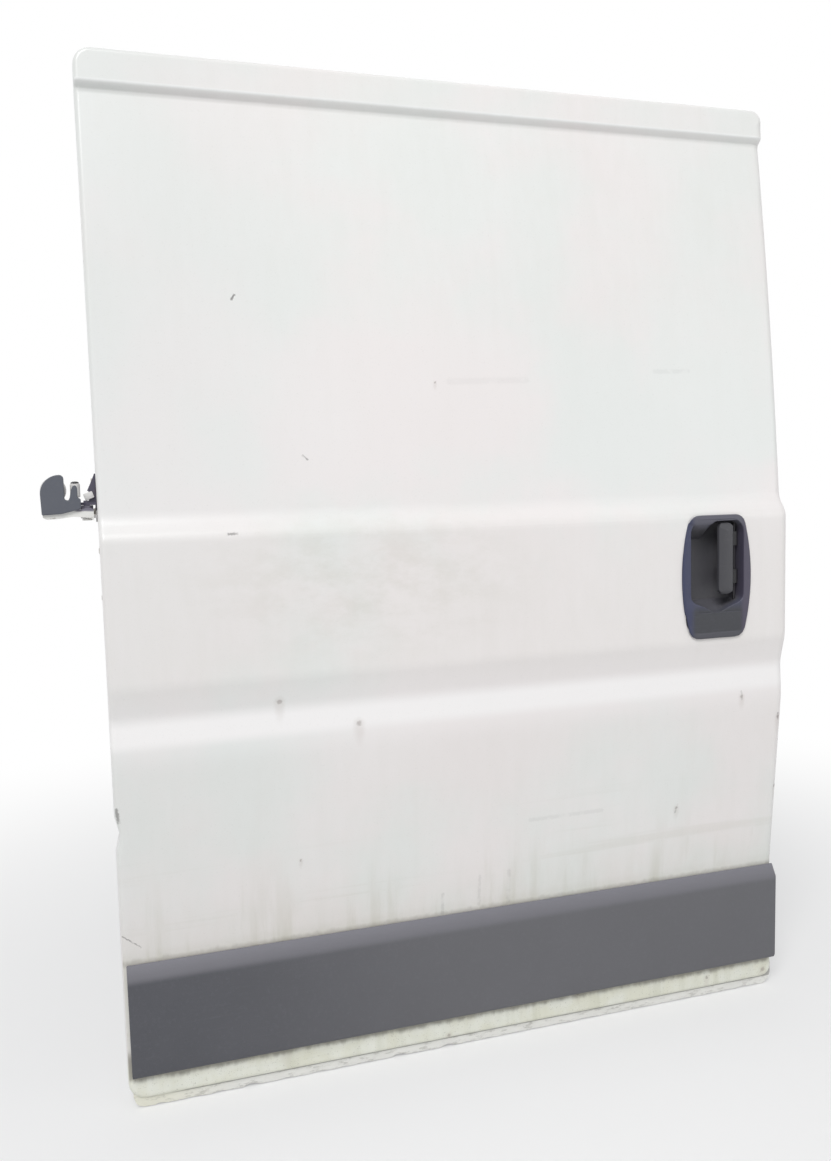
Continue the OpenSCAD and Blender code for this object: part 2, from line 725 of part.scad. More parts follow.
// Rear roller arm, its bracket and its rollers
bracket_rise = 53;
bracket_top = arm_h + bracket_rise;
bracket_t = 4;
bracket_deep = 26;
gusset_t = 5;
gusset_y = -3;
ear_t = 4;
side_gap = 0.5;
pivot_x = rear_x - pivot_out;
pivot_y = skin_y(bracket_top) + skin_return + bracket_t + seat_gap;
hub_lo = arm_h - hub_tall / 2;
hub_hi = arm_h + hub_tall / 2;
arm_end = rear_x - arm_reach;
plate_lo = hub_lo + 1;
lip_y = pivot_y - 22;
lip_tall = 8;
cover_t = 4;
cover_lo = plate_lo + 1;
load_x = arm_end + 18;
load_y = pivot_y - 7;
load_h = cover_lo + 35;
axle_d = 8;
carrier_gap = 5;
arm_wide = 16;
tail_w = arm_reach - pivot_out - 32;
shelf_w = 51;
guide_x = rear_x - 29;
guide_lo = hub_hi + 12;
guide_pin_d = 5;
post_d = 10;
inner_roller_x = arm_end + 17;
inner_roller_y = pivot_y + 22;
pin_head = 3;
pin_head_d = arm_pin_d + 5;
module rear_bracket() {
    plate_x = -tray_half - seat_gap - bracket_t;
    lowest = hub_lo - side_gap - ear_t - 6;
    color("darkslategray")
        difference() {
            union() {
                translate([plate_x, pivot_y, level(lowest)]) cube([bracket_t, bracket_deep, bracket_top - lowest]);
                for (z = [hub_lo - side_gap - ear_t, hub_hi + side_gap]) translate([0, 0, level(z)]) {
                    translate([pivot_x, pivot_y, 0]) cylinder(d = hub_d, h = ear_t);
                    translate([pivot_x, pivot_y - hub_d / 2, 0]) cube([plate_x - pivot_x + 1, hub_d, ear_t]);
                }
                // Gusset over the upper ear, its free edge hollow
                along_y(pivot_y + gusset_y, pivot_y + gusset_y + gusset_t)
                    polygon([
                        [plate_x + 1, level(hub_hi + side_gap)],
                        [pivot_x, level(hub_hi + side_gap)],
                        [pivot_x, level(hub_hi + side_gap + ear_t)],
                        [pivot_x + 1, level(hub_hi + 20)],
                        [pivot_x + 0.3 * pivot_out, level(hub_hi + 27)],
                        [pivot_x + 0.6 * pivot_out, level(bracket_top - 10)],
                        [plate_x, level(bracket_top)],
                        [plate_x + 1, level(bracket_top)]
                    ]);
            }
            translate([pivot_x, pivot_y, level(arm_h)]) cylinder(d = arm_pin_d, h = 4 * hub_tall, center = true);
        }
}
module rear_pivot_pin() {
    foot = hub_lo - side_gap - ear_t - seat_gap;
    color("silver")
        translate([pivot_x, pivot_y, level(foot)]) {
            translate([0, 0, -pin_head]) cylinder(d = arm_pin_d - 2 * run_gap, h = pin_head + hub_tall + 2 * side_gap + 2 * ear_t + pin_head);
            translate([0, 0, -pin_head]) cylinder(d = pin_head_d, h = pin_head);
        }
}
// Posts that carry the two upright rollers
module roller_post(x, y) {
    translate([x, y, level(plate_lo)]) {
        cylinder(d = post_d, h = guide_lo - 1 - plate_lo);
        cylinder(d = guide_pin_d, h = guide_lo + guide_roller_tall + 2 - plate_lo);
    }
}
module rear_arm() {
    left = arm_end + 2;
    tail = left + tail_w;
    back = inner_roller_y + 8;
    shelf = arm_end + shelf_w;
    lip_end = rear_x - 5;
    side = arm_wide / 2;
    carrier_y = load_y + load_roller_w / 2 + carrier_gap;
    color("white")
        difference() {
            union() {
                translate([pivot_x, pivot_y, level(hub_lo)]) cylinder(d = hub_d, h = hub_tall);
                along_z(level(plate_lo), level(plate_lo + arm_t))
                    polygon([
                        [left, lip_y], [shelf, lip_y], [pivot_x - 7, pivot_y - side], [pivot_x, pivot_y - side],
                        [pivot_x, pivot_y + side], [tail + 6, pivot_y + side], [tail, pivot_y + side + 5],
                        [tail, back - 6], [tail - 6, back], [left + 6, back], [left, back - 6]
                    ]);
                // Strip along the street side, hooked down towards the door
                along_y(lip_y, lip_y + arm_t)
                    polygon([
                        [left, level(plate_lo + lip_tall)], [left, level(plate_lo - 2)], [left + 2, level(plate_lo - 4)],
                        [left + 6, level(plate_lo - 5.5)], [left + 20, level(plate_lo - 5)], [shelf - 8, level(plate_lo - 2.5)],
                        [shelf, level(plate_lo - 3)], [lip_end - 4, level(plate_lo - 5.5)], [lip_end, level(plate_lo - 9)],
                        [lip_end, level(plate_lo + 8)], [lip_end - 8, level(plate_lo + 10)], [shelf + 4, level(plate_lo + lip_tall)]
                    ]);
                // Wall behind the load roller, with its axle
                along_y(carrier_y, carrier_y + arm_t)
                    polygon([
                        [left, level(plate_lo)], [tail, level(plate_lo)], [tail, level(plate_lo + 12)],
                        [load_x + axle_d, level(load_h + 6)], [load_x + 4, level(load_h + 10)],
                        [load_x - 4, level(load_h + 10)], [load_x - axle_d, level(load_h + 6)], [left, level(plate_lo + 12)]
                    ]);
                translate([load_x, 0, level(load_h)])
                    rod_y(load_y - load_roller_w / 2 - 3, carrier_y + 1, axle_d);
                roller_post(guide_x, pivot_y);
                roller_post(inner_roller_x, inner_roller_y);
            }
            translate([pivot_x, pivot_y, level(arm_h)]) cylinder(d = arm_pin_d, h = 4 * hub_tall, center = true);
        }
}
// Round plate that hides the load roller, its neck, and the finger beside it
cover_r = cover_w - 6;
cover_corner = 6;
neck_tall = 20;
neck_rise = 7;
module rear_arm_cover() {
    top = cover_lo + cover_tall;
    right = arm_end + cover_w;
    tip = guide_x + 7;
    finger_x = guide_x - 8;
    color("slategray")
        along_y(lip_y - cover_t - seat_gap, lip_y - seat_gap)
            polygon([
                [arm_end + 1, level(cover_lo)],
                [arm_end + 27, level(cover_lo + 1)],
                [finger_x, level(cover_lo + 4)],
                [tip - 2, level(cover_lo + neck_rise)],
                [tip, level(cover_lo + neck_rise + 2)],
                [tip, level(cover_lo + neck_tall + 2)],
                [guide_x + 3, level(cover_lo + neck_tall + 4)],
                [guide_x + 3, level(cover_lo + finger_tall - 5)],
                [guide_x + 2, level(cover_lo + finger_tall - 2)],
                [guide_x, level(cover_lo + finger_tall)],
                [guide_x - 3, level(cover_lo + finger_tall - 1)],
                [finger_x + 2, level(cover_lo + finger_tall - 7)],
                [finger_x, level(cover_lo + neck_tall + 4)],
                [finger_x - 2, level(cover_lo + neck_tall)],
                [right, level(cover_lo + neck_tall + 2)],
                for (a = [0:15:90]) [right - cover_corner + cover_corner * cos(a), level(top - cover_corner + cover_corner * sin(a))],
                for (a = [90:9:180]) [arm_end + cover_r + cover_r * cos(a), level(top - cover_r + cover_r * sin(a))]
            ]);
}
module roller(d, w, hole) {
    groove = min(1.5, d / 12);
    rotate_extrude()
        polygon([
            [hole / 2, 0], [d / 2 - groove, 0], [d / 2, groove],
            [d / 2, w - groove], [d / 2 - groove, w], [hole / 2, w]
        ]);
}
module rear_load_roller() {
    color("ivory")
        translate([load_x, load_y - load_roller_w / 2, level(load_h)])
            rotate([-90, 0, 0]) roller(load_roller_d, load_roller_w, axle_d + 2 * run_gap);
}
module rear_guide_roller() {
    color("ivory")
        translate([guide_x, pivot_y, level(guide_lo)]) roller(guide_roller_d, guide_roller_tall, guide_pin_d + 2 * run_gap);
}
module rear_inner_roller() {
    color("ivory")
        translate([inner_roller_x, inner_roller_y, level(guide_lo)])
            roller(guide_roller_d, guide_roller_tall, guide_pin_d + 2 * run_gap);
}

// Upper guide arm at the front top corner
upper_drop = 84;
upper_h = door_h - upper_drop;
upper_y = land_y(upper_h) + plug_in;
upper_plate_tall = 48;
upper_plate_t = 6;
upper_arm_t = 5;
upper_root_w = 52;
upper_eye_d = 40;
upper_roller_y = upper_y + upper_reach - 16;
roller_lift = 8;
module upper_arm() {
    lo = upper_h - upper_plate_tall / 2;
    hi = upper_h + upper_plate_tall / 2;
    color("gray") {
        along_x(upper_x - upper_plate_w / 2, upper_x + upper_plate_w / 2)
            polygon(land_strip(lo, hi, plug_in + seat_gap, plug_in + upper_plate_t));
        // Tapered blade with a rib under its root
        along_z(level(upper_h), level(upper_h + upper_arm_t))
            polygon([
                [upper_x - upper_root_w / 2, upper_y + 4], [upper_x + upper_root_w / 2, upper_y + 4],
                [upper_x + upper_eye_d / 2 - 1, upper_roller_y], [upper_x - upper_eye_d / 2 + 1, upper_roller_y]
            ]);
        along_x(upper_x - upper_arm_t / 2, upper_x + upper_arm_t / 2)
            polygon([
                [upper_y + 4, level(lo + 6)], [upper_y + 10, level(lo + 6)],
                [upper_y + upper_reach / 2, level(upper_h + 1)], [upper_y + 4, level(upper_h + 1)]
            ]);
        translate([upper_x, upper_roller_y, level(upper_h)]) {
            cylinder(d = upper_eye_d, h = upper_arm_t);
            cylinder(d = arm_roller_pin_d + 8, h = roller_lift - 1);
            cylinder(d = arm_roller_pin_d, h = roller_lift + arm_roller_w + 4);
        }
    }
}
module upper_roller() {
    color("ivory")
        translate([upper_x, upper_roller_y, level(upper_h + roller_lift)])
            roller(upper_roller_d, arm_roller_w, arm_roller_pin_d + 2 * run_gap);
}

// Lower guide arm at the front bottom corner: a channel on a foot plate
lower_inset = 130;
lower_rise = 50;
lower_x = half_w - lower_inset;
lower_h = plug_lo + lower_rise;
lower_foot_w = 130;
lower_foot_tall = 84;
lower_foot_t = 5;
channel_w = 70;
channel_t = 6;
channel_lo = lower_h - 24;
channel_tall = 30;
roller_room = 52;
channel_end = plug_in + lower_reach - roller_room;
end_wall_tall = 44;
axle_x = lower_x - 14;
lower_guide_x = lower_x + 26;
lower_eye_h = lower_h + 14;
lower_roller_y = channel_end + 28;
lower_guide_y = lower_roller_y + 4;
lower_guide_d = 24;
lower_eye_d = 20;
module lower_arm() {
    color("gray") {
        along_y(plug_in + seat_gap, plug_in + seat_gap + lower_foot_t)
            rounded(lower_x - lower_foot_w / 2, lower_x + lower_foot_w / 2, level(lower_h - 40), level(lower_h - 40 + lower_foot_tall), 12);
        translate([lower_x - channel_w / 2, plug_in + lower_foot_t - 1, level(channel_lo)])
            cube([channel_w, channel_end - plug_in - lower_foot_t + 1, channel_t]);
        for (x = [lower_x - channel_w / 2, lower_x + channel_w / 2 - channel_t])
            along_x(x, x + channel_t)
                polygon([
                    [plug_in + lower_foot_t - 1, level(channel_lo)], [channel_end, level(channel_lo)],
                    [channel_end, level(channel_lo + 18)], [plug_in + lower_foot_t - 1, level(channel_lo + channel_tall)]
                ]);
        translate([lower_x - channel_w / 2, channel_end - channel_t, level(channel_lo)]) cube([channel_w, channel_t, end_wall_tall]);
        translate([axle_x, 0, level(lower_h - 2)]) rod_y(channel_end - 1, lower_roller_y + arm_roller_w / 2 + 3, arm_roller_pin_d);
        along_z(level(lower_eye_h), level(lower_eye_h + channel_t)) {
            translate([lower_guide_x, lower_guide_y]) circle(d = lower_eye_d);
            translate([lower_guide_x - 4, channel_end - 2]) square([13, lower_guide_y - channel_end + 2]);
        }
        translate([lower_guide_x, lower_guide_y, level(lower_eye_h)])
            cylinder(d = arm_roller_pin_d, h = roller_lift + arm_roller_w + 4);
    }
}
module lower_load_roller() {
    color("ivory")
        translate([axle_x, lower_roller_y - arm_roller_w / 2, level(lower_h - 2)])
            rotate([-90, 0, 0]) roller(lower_roller_d, arm_roller_w, arm_roller_pin_d + 2 * run_gap);
}
module lower_guide_roller() {
    color("ivory")
        translate([lower_guide_x, lower_guide_y, level(lower_eye_h + roller_lift)])
            roller(lower_guide_d, arm_roller_w, arm_roller_pin_d + 2 * run_gap);
}

// Latches in the front and rear side walls
mouth_deep = 24;
mouth_margin = 3;
claw_t = 6;
claw_d = 32;
claw_slot = 40;
latch_r = 7;
latch_y = -press_r - 1;
module latch_mouth(side) {
    translate([side * (tray_half - 10), (latch_y - mouth_deep) / 2, level(latch_h)])
        cube([claw_slot, mouth_deep - latch_y + 4, mouth_tall + 2 * mouth_margin], center = true);
}
module latch(side) {
    x = tray_half - panel_t - seat_gap - latch_t;
    from = side > 0 ? x : -x - latch_t;
    color("gray")
        difference() {
            along_x(from, from + latch_t)
                rounded(latch_y - latch_deep, latch_y, level(latch_h - latch_tall / 2), level(latch_h + latch_tall / 2), latch_r);
            along_x(from - 1, from + latch_t + 1)
                translate([latch_y - mouth_deep, level(latch_h)]) {
                    circle(d = mouth_tall);
                    translate([0, -mouth_tall / 2]) square([mouth_deep + 1, mouth_tall]);
                }
            translate([side * (x + latch_t / 2), latch_y - mouth_deep, level(latch_h)])
                cube([claw_t + 2 * seat_gap, claw_slot, claw_slot], center = true);
        }
}
module latch_claw(side) {
    x = tray_half - panel_t - seat_gap - latch_t / 2;
    color("silver")
        translate([side * x, latch_y - mouth_deep, level(latch_h)])
            difference() {
                rod_x(-claw_t / 2, claw_t / 2, claw_d);
                translate([-claw_t, 0, -mouth_tall / 2 + 2]) cube([2 * claw_t, claw_d, mouth_tall - 4]);
            }
}
module front_latch() { latch(1); }
module front_latch_claw() { latch_claw(1); }
module rear_latch() { latch(-1); }
module rear_latch_claw() { latch_claw(-1); }

// Release unit behind the inner handle, and the rod to the rear latch
release_inset = 210;
release_x = half_w - release_inset;
release_w = 140;
release_tall = 98;
release_cut = 22;
release_front = 8;
boss_d = 44;
rod_d = 5;
rod_y0 = -12;
module release_unit() {
    lo = beam_h + beam_d / 2 + 8;
    left = release_x - release_w / 2;
    color("gray") {
        along_y(rod_y0 - release_front, plug_in - panel_t - seat_gap)
            polygon([
                [left, level(lo)], [left + release_w - release_cut, level(lo)], [left + release_w, level(lo + release_cut)],
                [left + release_w, level(lo + release_tall)], [left + release_cut, level(lo + release_tall)],
                [left, level(lo + release_tall - release_cut)]
            ]);
        translate([release_x, 0, level(lo + release_tall / 2)]) rod_y(rod_y0 - release_front - 4, rod_y0, boss_d);
    }
}
module latch_rod() {
    color("silver")
        translate([0, rod_y0, level(latch_h + 5)])
            rod_x(-tray_half + panel_t + latch_t + 2 * seat_gap, release_x - release_w / 2 - seat_gap, rod_d);
}

// Inner handle: a dished housing and its lever
inner_h = 800;
inner_seat = land_y(inner_h + inner_handle_tall / 2) + plug_in;
housing_deep = 22;
housing_t = 6;
housing_r = 20;
lever_w = 108;
lever_tall = 28;
lever_t = 12;
lever_shift = 10;
module inner_handle() {
    w = inner_handle_w / 2;
    t = inner_handle_tall / 2;
    color("black")
        difference() {
            along_y(inner_seat + seat_gap, inner_seat + housing_deep)
                rounded(inner_x - w, inner_x + w, level(inner_h - t), level(inner_h + t), housing_r);
            along_y(inner_seat + housing_t, inner_seat + housing_deep + 1)
                rounded(inner_x - w + 2 * housing_t, inner_x + w - 5 * housing_t, level(inner_h - t + 2 * housing_t), level(inner_h + t - 2 * housing_t), housing_r - housing_t);
        }
}
module inner_handle_lever() {
    from = inner_x - lever_shift - lever_w / 2;
    color("dimgray")
        difference() {
            along_y(inner_seat + housing_t + seat_gap, inner_seat + housing_t + lever_t)
                rounded(from, from + lever_w, level(inner_h - lever_tall / 2), level(inner_h + lever_tall / 2), 8);
            // Finger hollow towards its free end
            translate([from + lever_w - 16, inner_seat + housing_t, level(inner_h - lever_tall)])
                cylinder(d = 14, h = 2 * lever_tall);
        }
}

// Trim over the lower part of the inner panel, with a raised field
trim_in = 20;
trim_lo = plug_lo + 30;
trim_r = 40;
field_in = 46;
field_out = 3;
notch_w = 400;
notch_left = lower_x - lower_foot_w / 2 - 15;
notch_tall = lower_h - 40 + lower_foot_tall + 12 - plug_lo;
module lower_trim() {
    w = plug_half - trim_in;
    seat = plug_in + seat_gap;
    hi = trim_lo + trim_tall;
    color("gray")
        difference() {
            union() {
                along_y(seat, seat + trim_t) rounded(-w, w, level(trim_lo), level(hi), trim_r);
                along_y(seat + trim_t - 1, seat + trim_t + field_out)
                    rounded(-w + field_in, w - field_in, level(trim_lo + field_in), level(hi - field_in), trim_r);
            }
            along_y(seat - 1, seat + trim_t + field_out + 1) translate([notch_left, level(plug_lo)]) square([notch_w, notch_tall]);
        }
}

// Guide wedges on the front edge, buffers on the rear land, contact block
wedge_low_h = 420;
wedge_high_h = 1240;
wedge_tall = 64;
wedge_out = 14;
wedge_cut = 10;
module guide_wedges() {
    color("dimgray")
        for (h = [wedge_low_h, wedge_high_h]) {
            lo = h - wedge_tall / 2;
            hi = h + wedge_tall / 2;
            along_x(tray_half + seat_gap, tray_half + wedge_out)
                polygon([
                    [skin_y(lo) + skin_return + 3, level(lo)],
                    [land_y(lo + wedge_cut) - press_r - 2, level(lo + wedge_cut)],
                    [land_y(hi - wedge_cut) - press_r - 2, level(hi - wedge_cut)],
                    [skin_y(hi) + skin_return + 3, level(hi)]
                ]);
        }
}
buffer_low_h = 1010;
buffer_high_h = 1330;
buffer_d = 24;
buffer_nose_d = 15;
buffer_tall = 12;
module rubber_buffers() {
    color("black")
        for (h = [buffer_low_h, buffer_high_h]) {
            seat = land_y(h + buffer_d / 2) + seat_gap;
            translate([-plug_half - land_w / 2, 0, level(h)]) {
                rod_y(seat, seat + buffer_tall / 2, buffer_d);
                rod_y(seat, seat + buffer_tall, buffer_nose_d);
            }
        }
}
contact_lo = 600;
contact_deep = 26;
contact_tall = 70;
contact_out = 7;
module contact_block() {
    color("dimgray")
        along_x(tray_half + seat_gap, tray_half + seat_gap + contact_out)
            rounded(-press_r - 32, -press_r - 32 + contact_deep, level(contact_lo), level(contact_lo + contact_tall), 5);
}

outer_skin();
inner_panel();
upper_braces();
side_impact_beam();
side_moulding();
bottom_seal();
handle_bezel();
handle_pin();
handle_grip();
rear_bracket();
rear_pivot_pin();
rear_arm();
rear_arm_cover();
rear_load_roller();
rear_guide_roller();
rear_inner_roller();
upper_arm();
upper_roller();
lower_arm();
lower_load_roller();
lower_guide_roller();
front_latch();
front_latch_claw();
rear_latch();
rear_latch_claw();
release_unit();
latch_rod();
inner_handle();
inner_handle_lever();
lower_trim();
guide_wedges();
rubber_buffers();
contact_block();
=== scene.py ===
from functools import reduce
from math import atan2, cos, hypot, pi, radians, sin, sqrt, tau

import bmesh
import bpy
from mathutils import Matrix, Vector, noise
from mathutils.bvhtree import BVHTree


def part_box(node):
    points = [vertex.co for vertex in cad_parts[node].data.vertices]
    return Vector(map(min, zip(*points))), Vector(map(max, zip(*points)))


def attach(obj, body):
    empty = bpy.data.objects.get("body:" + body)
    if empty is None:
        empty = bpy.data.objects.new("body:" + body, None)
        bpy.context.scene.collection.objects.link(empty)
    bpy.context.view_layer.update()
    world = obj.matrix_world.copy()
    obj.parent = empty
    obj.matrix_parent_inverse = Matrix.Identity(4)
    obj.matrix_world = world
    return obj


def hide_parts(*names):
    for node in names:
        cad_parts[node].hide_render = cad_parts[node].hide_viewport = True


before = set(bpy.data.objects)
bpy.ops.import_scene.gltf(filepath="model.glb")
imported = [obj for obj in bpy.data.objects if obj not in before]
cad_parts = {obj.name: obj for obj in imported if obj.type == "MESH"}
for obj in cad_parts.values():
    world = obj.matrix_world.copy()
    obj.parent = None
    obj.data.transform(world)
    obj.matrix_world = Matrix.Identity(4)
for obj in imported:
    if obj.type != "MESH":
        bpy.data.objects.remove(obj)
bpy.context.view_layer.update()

# The stand: the door is upright on a pale studio floor, seen from its rear
# edge at about eye height. A soft lamp hangs high in front, and the pale room
# lights the rest.
floor_level = -0.0605
floor_half = 60.0
chest_height = Vector((0, 0, 0.7))


def stood(name, data):
    """A new object in the scene, from its camera, lamp or mesh."""
    made = bpy.data.objects.new(name, data)
    bpy.context.scene.collection.objects.link(made)
    return made


def meshed(name, bm, material):
    """A new object in the scene, from its bmesh and its finish."""
    mesh = bpy.data.meshes.new(name)
    bm.to_mesh(mesh)
    bm.free()
    mesh.materials.append(material)
    return stood(name, mesh)


eye = bpy.data.cameras.new("eye")
eye.sensor_width = 36.0
eye.lens = 32.56
eye.clip_start = 0.02
eye.clip_end = 200.0
tripod = stood("eye", eye)
tripod.location = (-0.6133, -1.6412, 0.8930)
tripod.rotation_euler = (radians(84.517), radians(1.480), radians(-17.974))
bpy.context.scene.camera = tripod
bpy.context.scene.view_settings.view_transform = "Standard"


def put(tree, kind, settings=None, **inputs):
    """One node of a shader, with its settings and its inputs, which may be sockets."""
    node = tree.nodes.new("ShaderNode" + kind)
    for name, value in (settings or {}).items():
        setattr(node, name, value)
    for name, value in inputs.items():
        socket = node.inputs[int(name[1:]) if name[0] == "_" else name.replace("_", " ")]
        if isinstance(value, bpy.types.NodeSocket):
            tree.links.new(value, socket)
        else:
            socket.default_value = value
    return node


def numbered(values):
    """Inputs by their numbers, for nodes whose sockets share a name."""
    return {f"_{number}": value for number, value in enumerate(values)}


def home(values):
    """The shader that a step belongs to, told from its first socket."""
    return next(value.id_data for value in values if isinstance(value, bpy.types.NodeSocket))


def calc(operation, *values, clamp=False):
    """One step of arithmetic between sockets and numbers."""
    settings = {"operation": operation, "use_clamp": clamp}
    return put(home(values), "Math", settings, **numbered(values)).outputs[0]


def folded(operation):
    """A step of arithmetic that is carried on from each socket or number to the next."""
    return lambda *values: reduce(lambda total, value: calc(operation, total, value), values)


# product, largest and sum
times, most, plus = (folded(operation) for operation in ("MULTIPLY", "MAXIMUM", "ADD"))


def vector(operation, *values):
    """One step between places; lengths, distances and dot products are numbers."""
    node = put(home(values), "VectorMath", {"operation": operation}, **numbered(values))
    return node.outputs["Value" if operation in ("LENGTH", "DISTANCE", "DOT_PRODUCT") else "Vector"]


def fade(value, low, high, at_low=0.0, at_high=1.0):
    """A soft step: at_low below low, at_high above high."""
    bounds = numbered((value, low, high, at_low, at_high))
    return put(value.id_data, "MapRange", {"interpolation_type": "SMOOTHSTEP"}, **bounds).outputs[0]


def here(tree):
    """The place on the piece that is being coloured."""
    return put(tree, "TexCoord").outputs["Object"]


def looked_at(tree):
    """1 for what the camera sees, straight, mirrored or through glass."""
    ray = put(tree, "LightPath").outputs
    return most(ray["Is Camera Ray"], most(ray["Is Glossy Ray"], ray["Is Transmission Ray"]))


room = bpy.data.worlds.new("room")
bpy.context.scene.world = room
room.use_nodes = True
tree = room.node_tree
tree.nodes.clear()
glow = put(tree, "Background", Color=(0.97, 0.98, 1.0, 1), Strength=0.45).outputs[0]
backdrop = put(tree, "Background", Color=(1, 1, 1, 1), Strength=1.0).outputs[0]
walls = put(tree, "MixShader", _0=looked_at(tree), _1=glow, _2=backdrop).outputs[0]
put(tree, "OutputWorld", Surface=walls)

for name, place, size, watts in (
    ("high_softbox", (-2.2, -4.2, 6.0), 3.0, 300.0),
    ("side_fill", (3.4, -2.6, 1.6), 2.0, 12.0),
):
    lamp = bpy.data.lights.new(name, "AREA")
    lamp.size = size
    lamp.energy = watts
    hung = stood(name, lamp)
    hung.location = place
    hung.rotation_euler = (chest_height - Vector(place)).to_track_quat("-Z", "Y").to_euler()

# the floor keeps the door's shadow near it and goes over to white further out
floor_paint = bpy.data.materials.new("studio_floor")
floor_paint.use_nodes = True
tree = floor_paint.node_tree
tree.nodes.clear()
away = vector("LENGTH", here(tree))
matt = put(tree, "BsdfDiffuse", Color=(0.86, 0.86, 0.86, 1)).outputs[0]
bright = put(tree, "Emission", Color=(1, 1, 1, 1), Strength=1.0).outputs[0]
share = times(fade(away, 0.55, 2.4, 0.35, 1.0), looked_at(tree))
mixed = put(tree, "MixShader", _0=share, _1=matt, _2=bright).outputs[0]
put(tree, "OutputMaterial", Surface=mixed)

bm = bmesh.new()
bmesh.ops.create_grid(bm, x_segments=1, y_segments=1, size=floor_half)
bmesh.ops.translate(bm, verts=bm.verts, vec=(0, 0, floor_level))
floor = meshed("studio_floor", bm, floor_paint)

# The outer skin: one deep-drawn steel sheet with crisp bends, stone-white
# paint, road film towards the sill and the knocks of years in service. Its
# pressing is the CAD solid; the bends are smoothed and painted here.
rear_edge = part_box("outer_skin")[0][0]
door_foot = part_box("inner_panel")[0][2]
door_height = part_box("outer_skin")[1][2] - door_foot
groove_foot, groove_lip, groove_top = 1.4710, 1.4780, 1.4810
fold_foot = 0.530
film_foot, film_reach = 0.10, 0.18
moulding_line = 0.172
sill_line = -0.0090


def tint(share, first, second):
    """The first colour, going over to the second by a share."""
    ends = [end if isinstance(end, bpy.types.NodeSocket) else (*end, 1) for end in (first, second)]
    mix = put(share.id_data, "Mix", {"data_type": "RGBA"}, _0=share, _6=ends[0], _7=ends[1])
    return mix.outputs[2]


def group(name, inputs, outputs):
    """A shared effect with named inputs and outputs."""
    made = bpy.data.node_groups.new(name, "ShaderNodeTree")
    for label, value in inputs.items():
        kind = "NodeSocketVector" if isinstance(value, tuple) else "NodeSocketFloat"
        made.interface.new_socket(label, in_out="INPUT", socket_type=kind).default_value = value
    for label in outputs:
        made.interface.new_socket(label, in_out="OUTPUT", socket_type="NodeSocketFloat")
    return made, made.nodes.new("NodeGroupInput").outputs, made.nodes.new("NodeGroupOutput").inputs


def use(tree, made, **inputs):
    """Places a shared effect in a shader with its own values."""
    return put(tree, "Group", {"node_tree": made}, **inputs).outputs


def finish_for(name, **constants):
    """A new material with its shader, which the constants stay on, and the place it colours."""
    made = bpy.data.materials.new(name)
    made.use_nodes = True
    tree = made.node_tree
    tree.nodes.clear()
    shader = put(tree, "BsdfPrincipled", **constants)
    put(tree, "OutputMaterial", Surface=shader.outputs[0])
    return made, tree, here(tree)


def wire(tree, colour, roughness, height, depth, metallic=None):
    """Joins the worked-out colour, roughness and relief to the shader."""
    shader = tree.nodes["Principled BSDF"]
    for value, socket in ((colour, "Base Color"), (roughness, "Roughness"), (metallic, "Metallic")):
        if value is not None:
            tree.links.new(value, shader.inputs[socket])
    bump = put(tree, "Bump", Strength=1.0, Distance=depth, Height=height)
    tree.links.new(bump.outputs[0], shader.inputs["Normal"])


def along(place, axis):
    """How far a place lies along one axis."""
    return put(place.id_data, "SeparateXYZ", _0=place).outputs[axis]


def stretched(place, scale):
    """The place, stretched along its axes, for streaks and drawn lines."""
    return vector("MULTIPLY", place, scale)


def far_from(place, scale, centre):
    """Distance from a centre, measured after stretching."""
    return vector("DISTANCE", stretched(place, scale), centre)


def cloud(place, scale, detail=4.0, roughness=0.55):
    """Soft patches from 0 to 1; the scale says how many lie in a metre."""
    settings = {"Vector": place, "Scale": scale, "Detail": detail, "Roughness": roughness}
    return put(place.id_data, "TexNoise", **settings).outputs["Fac"]


def band(value, middle, inner, outer, share):
    """A share inside a soft band round a middle value, nothing beyond it."""
    off = calc("ABSOLUTE", calc("SUBTRACT", value, middle))
    return fade(off, inner, outer, share, 0.0)


# Stone chip: paint knocked off down to the steel, with a faint stained halo
# that runs down from it. Where is the place, already shaken to ragged edges.
chip, chip_in, chip_out = group(
    "stone_chip", {"Where": (0, 0, 0), "Place": (0, 0, 0), "Size": 0.004}, ["Core", "Stain"]
)
moved = vector("SUBTRACT", chip_in["Where"], chip_in["Place"])
near = calc("DIVIDE", vector("LENGTH", moved), chip_in["Size"])
chip.links.new(fade(near, 0.45, 1.0, 1.0, 0.0), chip_out["Core"])
parts = put(chip, "SeparateXYZ", _0=moved).outputs
below = times(calc("MINIMUM", parts["Z"], 0.0), 0.30)
drip = plus(below, calc("MAXIMUM", parts["Z"], 0.0))
drop = put(chip, "CombineXYZ", _0=parts["X"], _2=drip).outputs[0]
spread = calc("DIVIDE", vector("LENGTH", drop), chip_in["Size"])
chip.links.new(fade(spread, 0.6, 2.4, 0.16, 0.0), chip_out["Stain"])

# Scrape: a line where something dragged along the paint.
scrape, scrape_in, scrape_out = group(
    "scrape", {"Where": (0, 0, 0), "From": (0, 0, 0), "To": (0.1, 0, 0), "Width": 0.002}, ["Mask"]
)
drawn = vector("SUBTRACT", scrape_in["To"], scrape_in["From"])
offset = vector("SUBTRACT", scrape_in["Where"], scrape_in["From"])
reach = calc("DIVIDE", *(vector("DOT_PRODUCT", arrow, drawn) for arrow in (offset, drawn)))
reach = put(scrape, "Clamp", _0=reach).outputs[0]
foot = put(scrape, "VectorMath", {"operation": "SCALE"}, _0=drawn, Scale=reach).outputs[0]
gap = calc("DIVIDE", vector("DISTANCE", offset, foot), scrape_in["Width"])
scrape.links.new(fade(gap, 0.3, 1.0, 1.0, 0.0), scrape_out["Mask"])

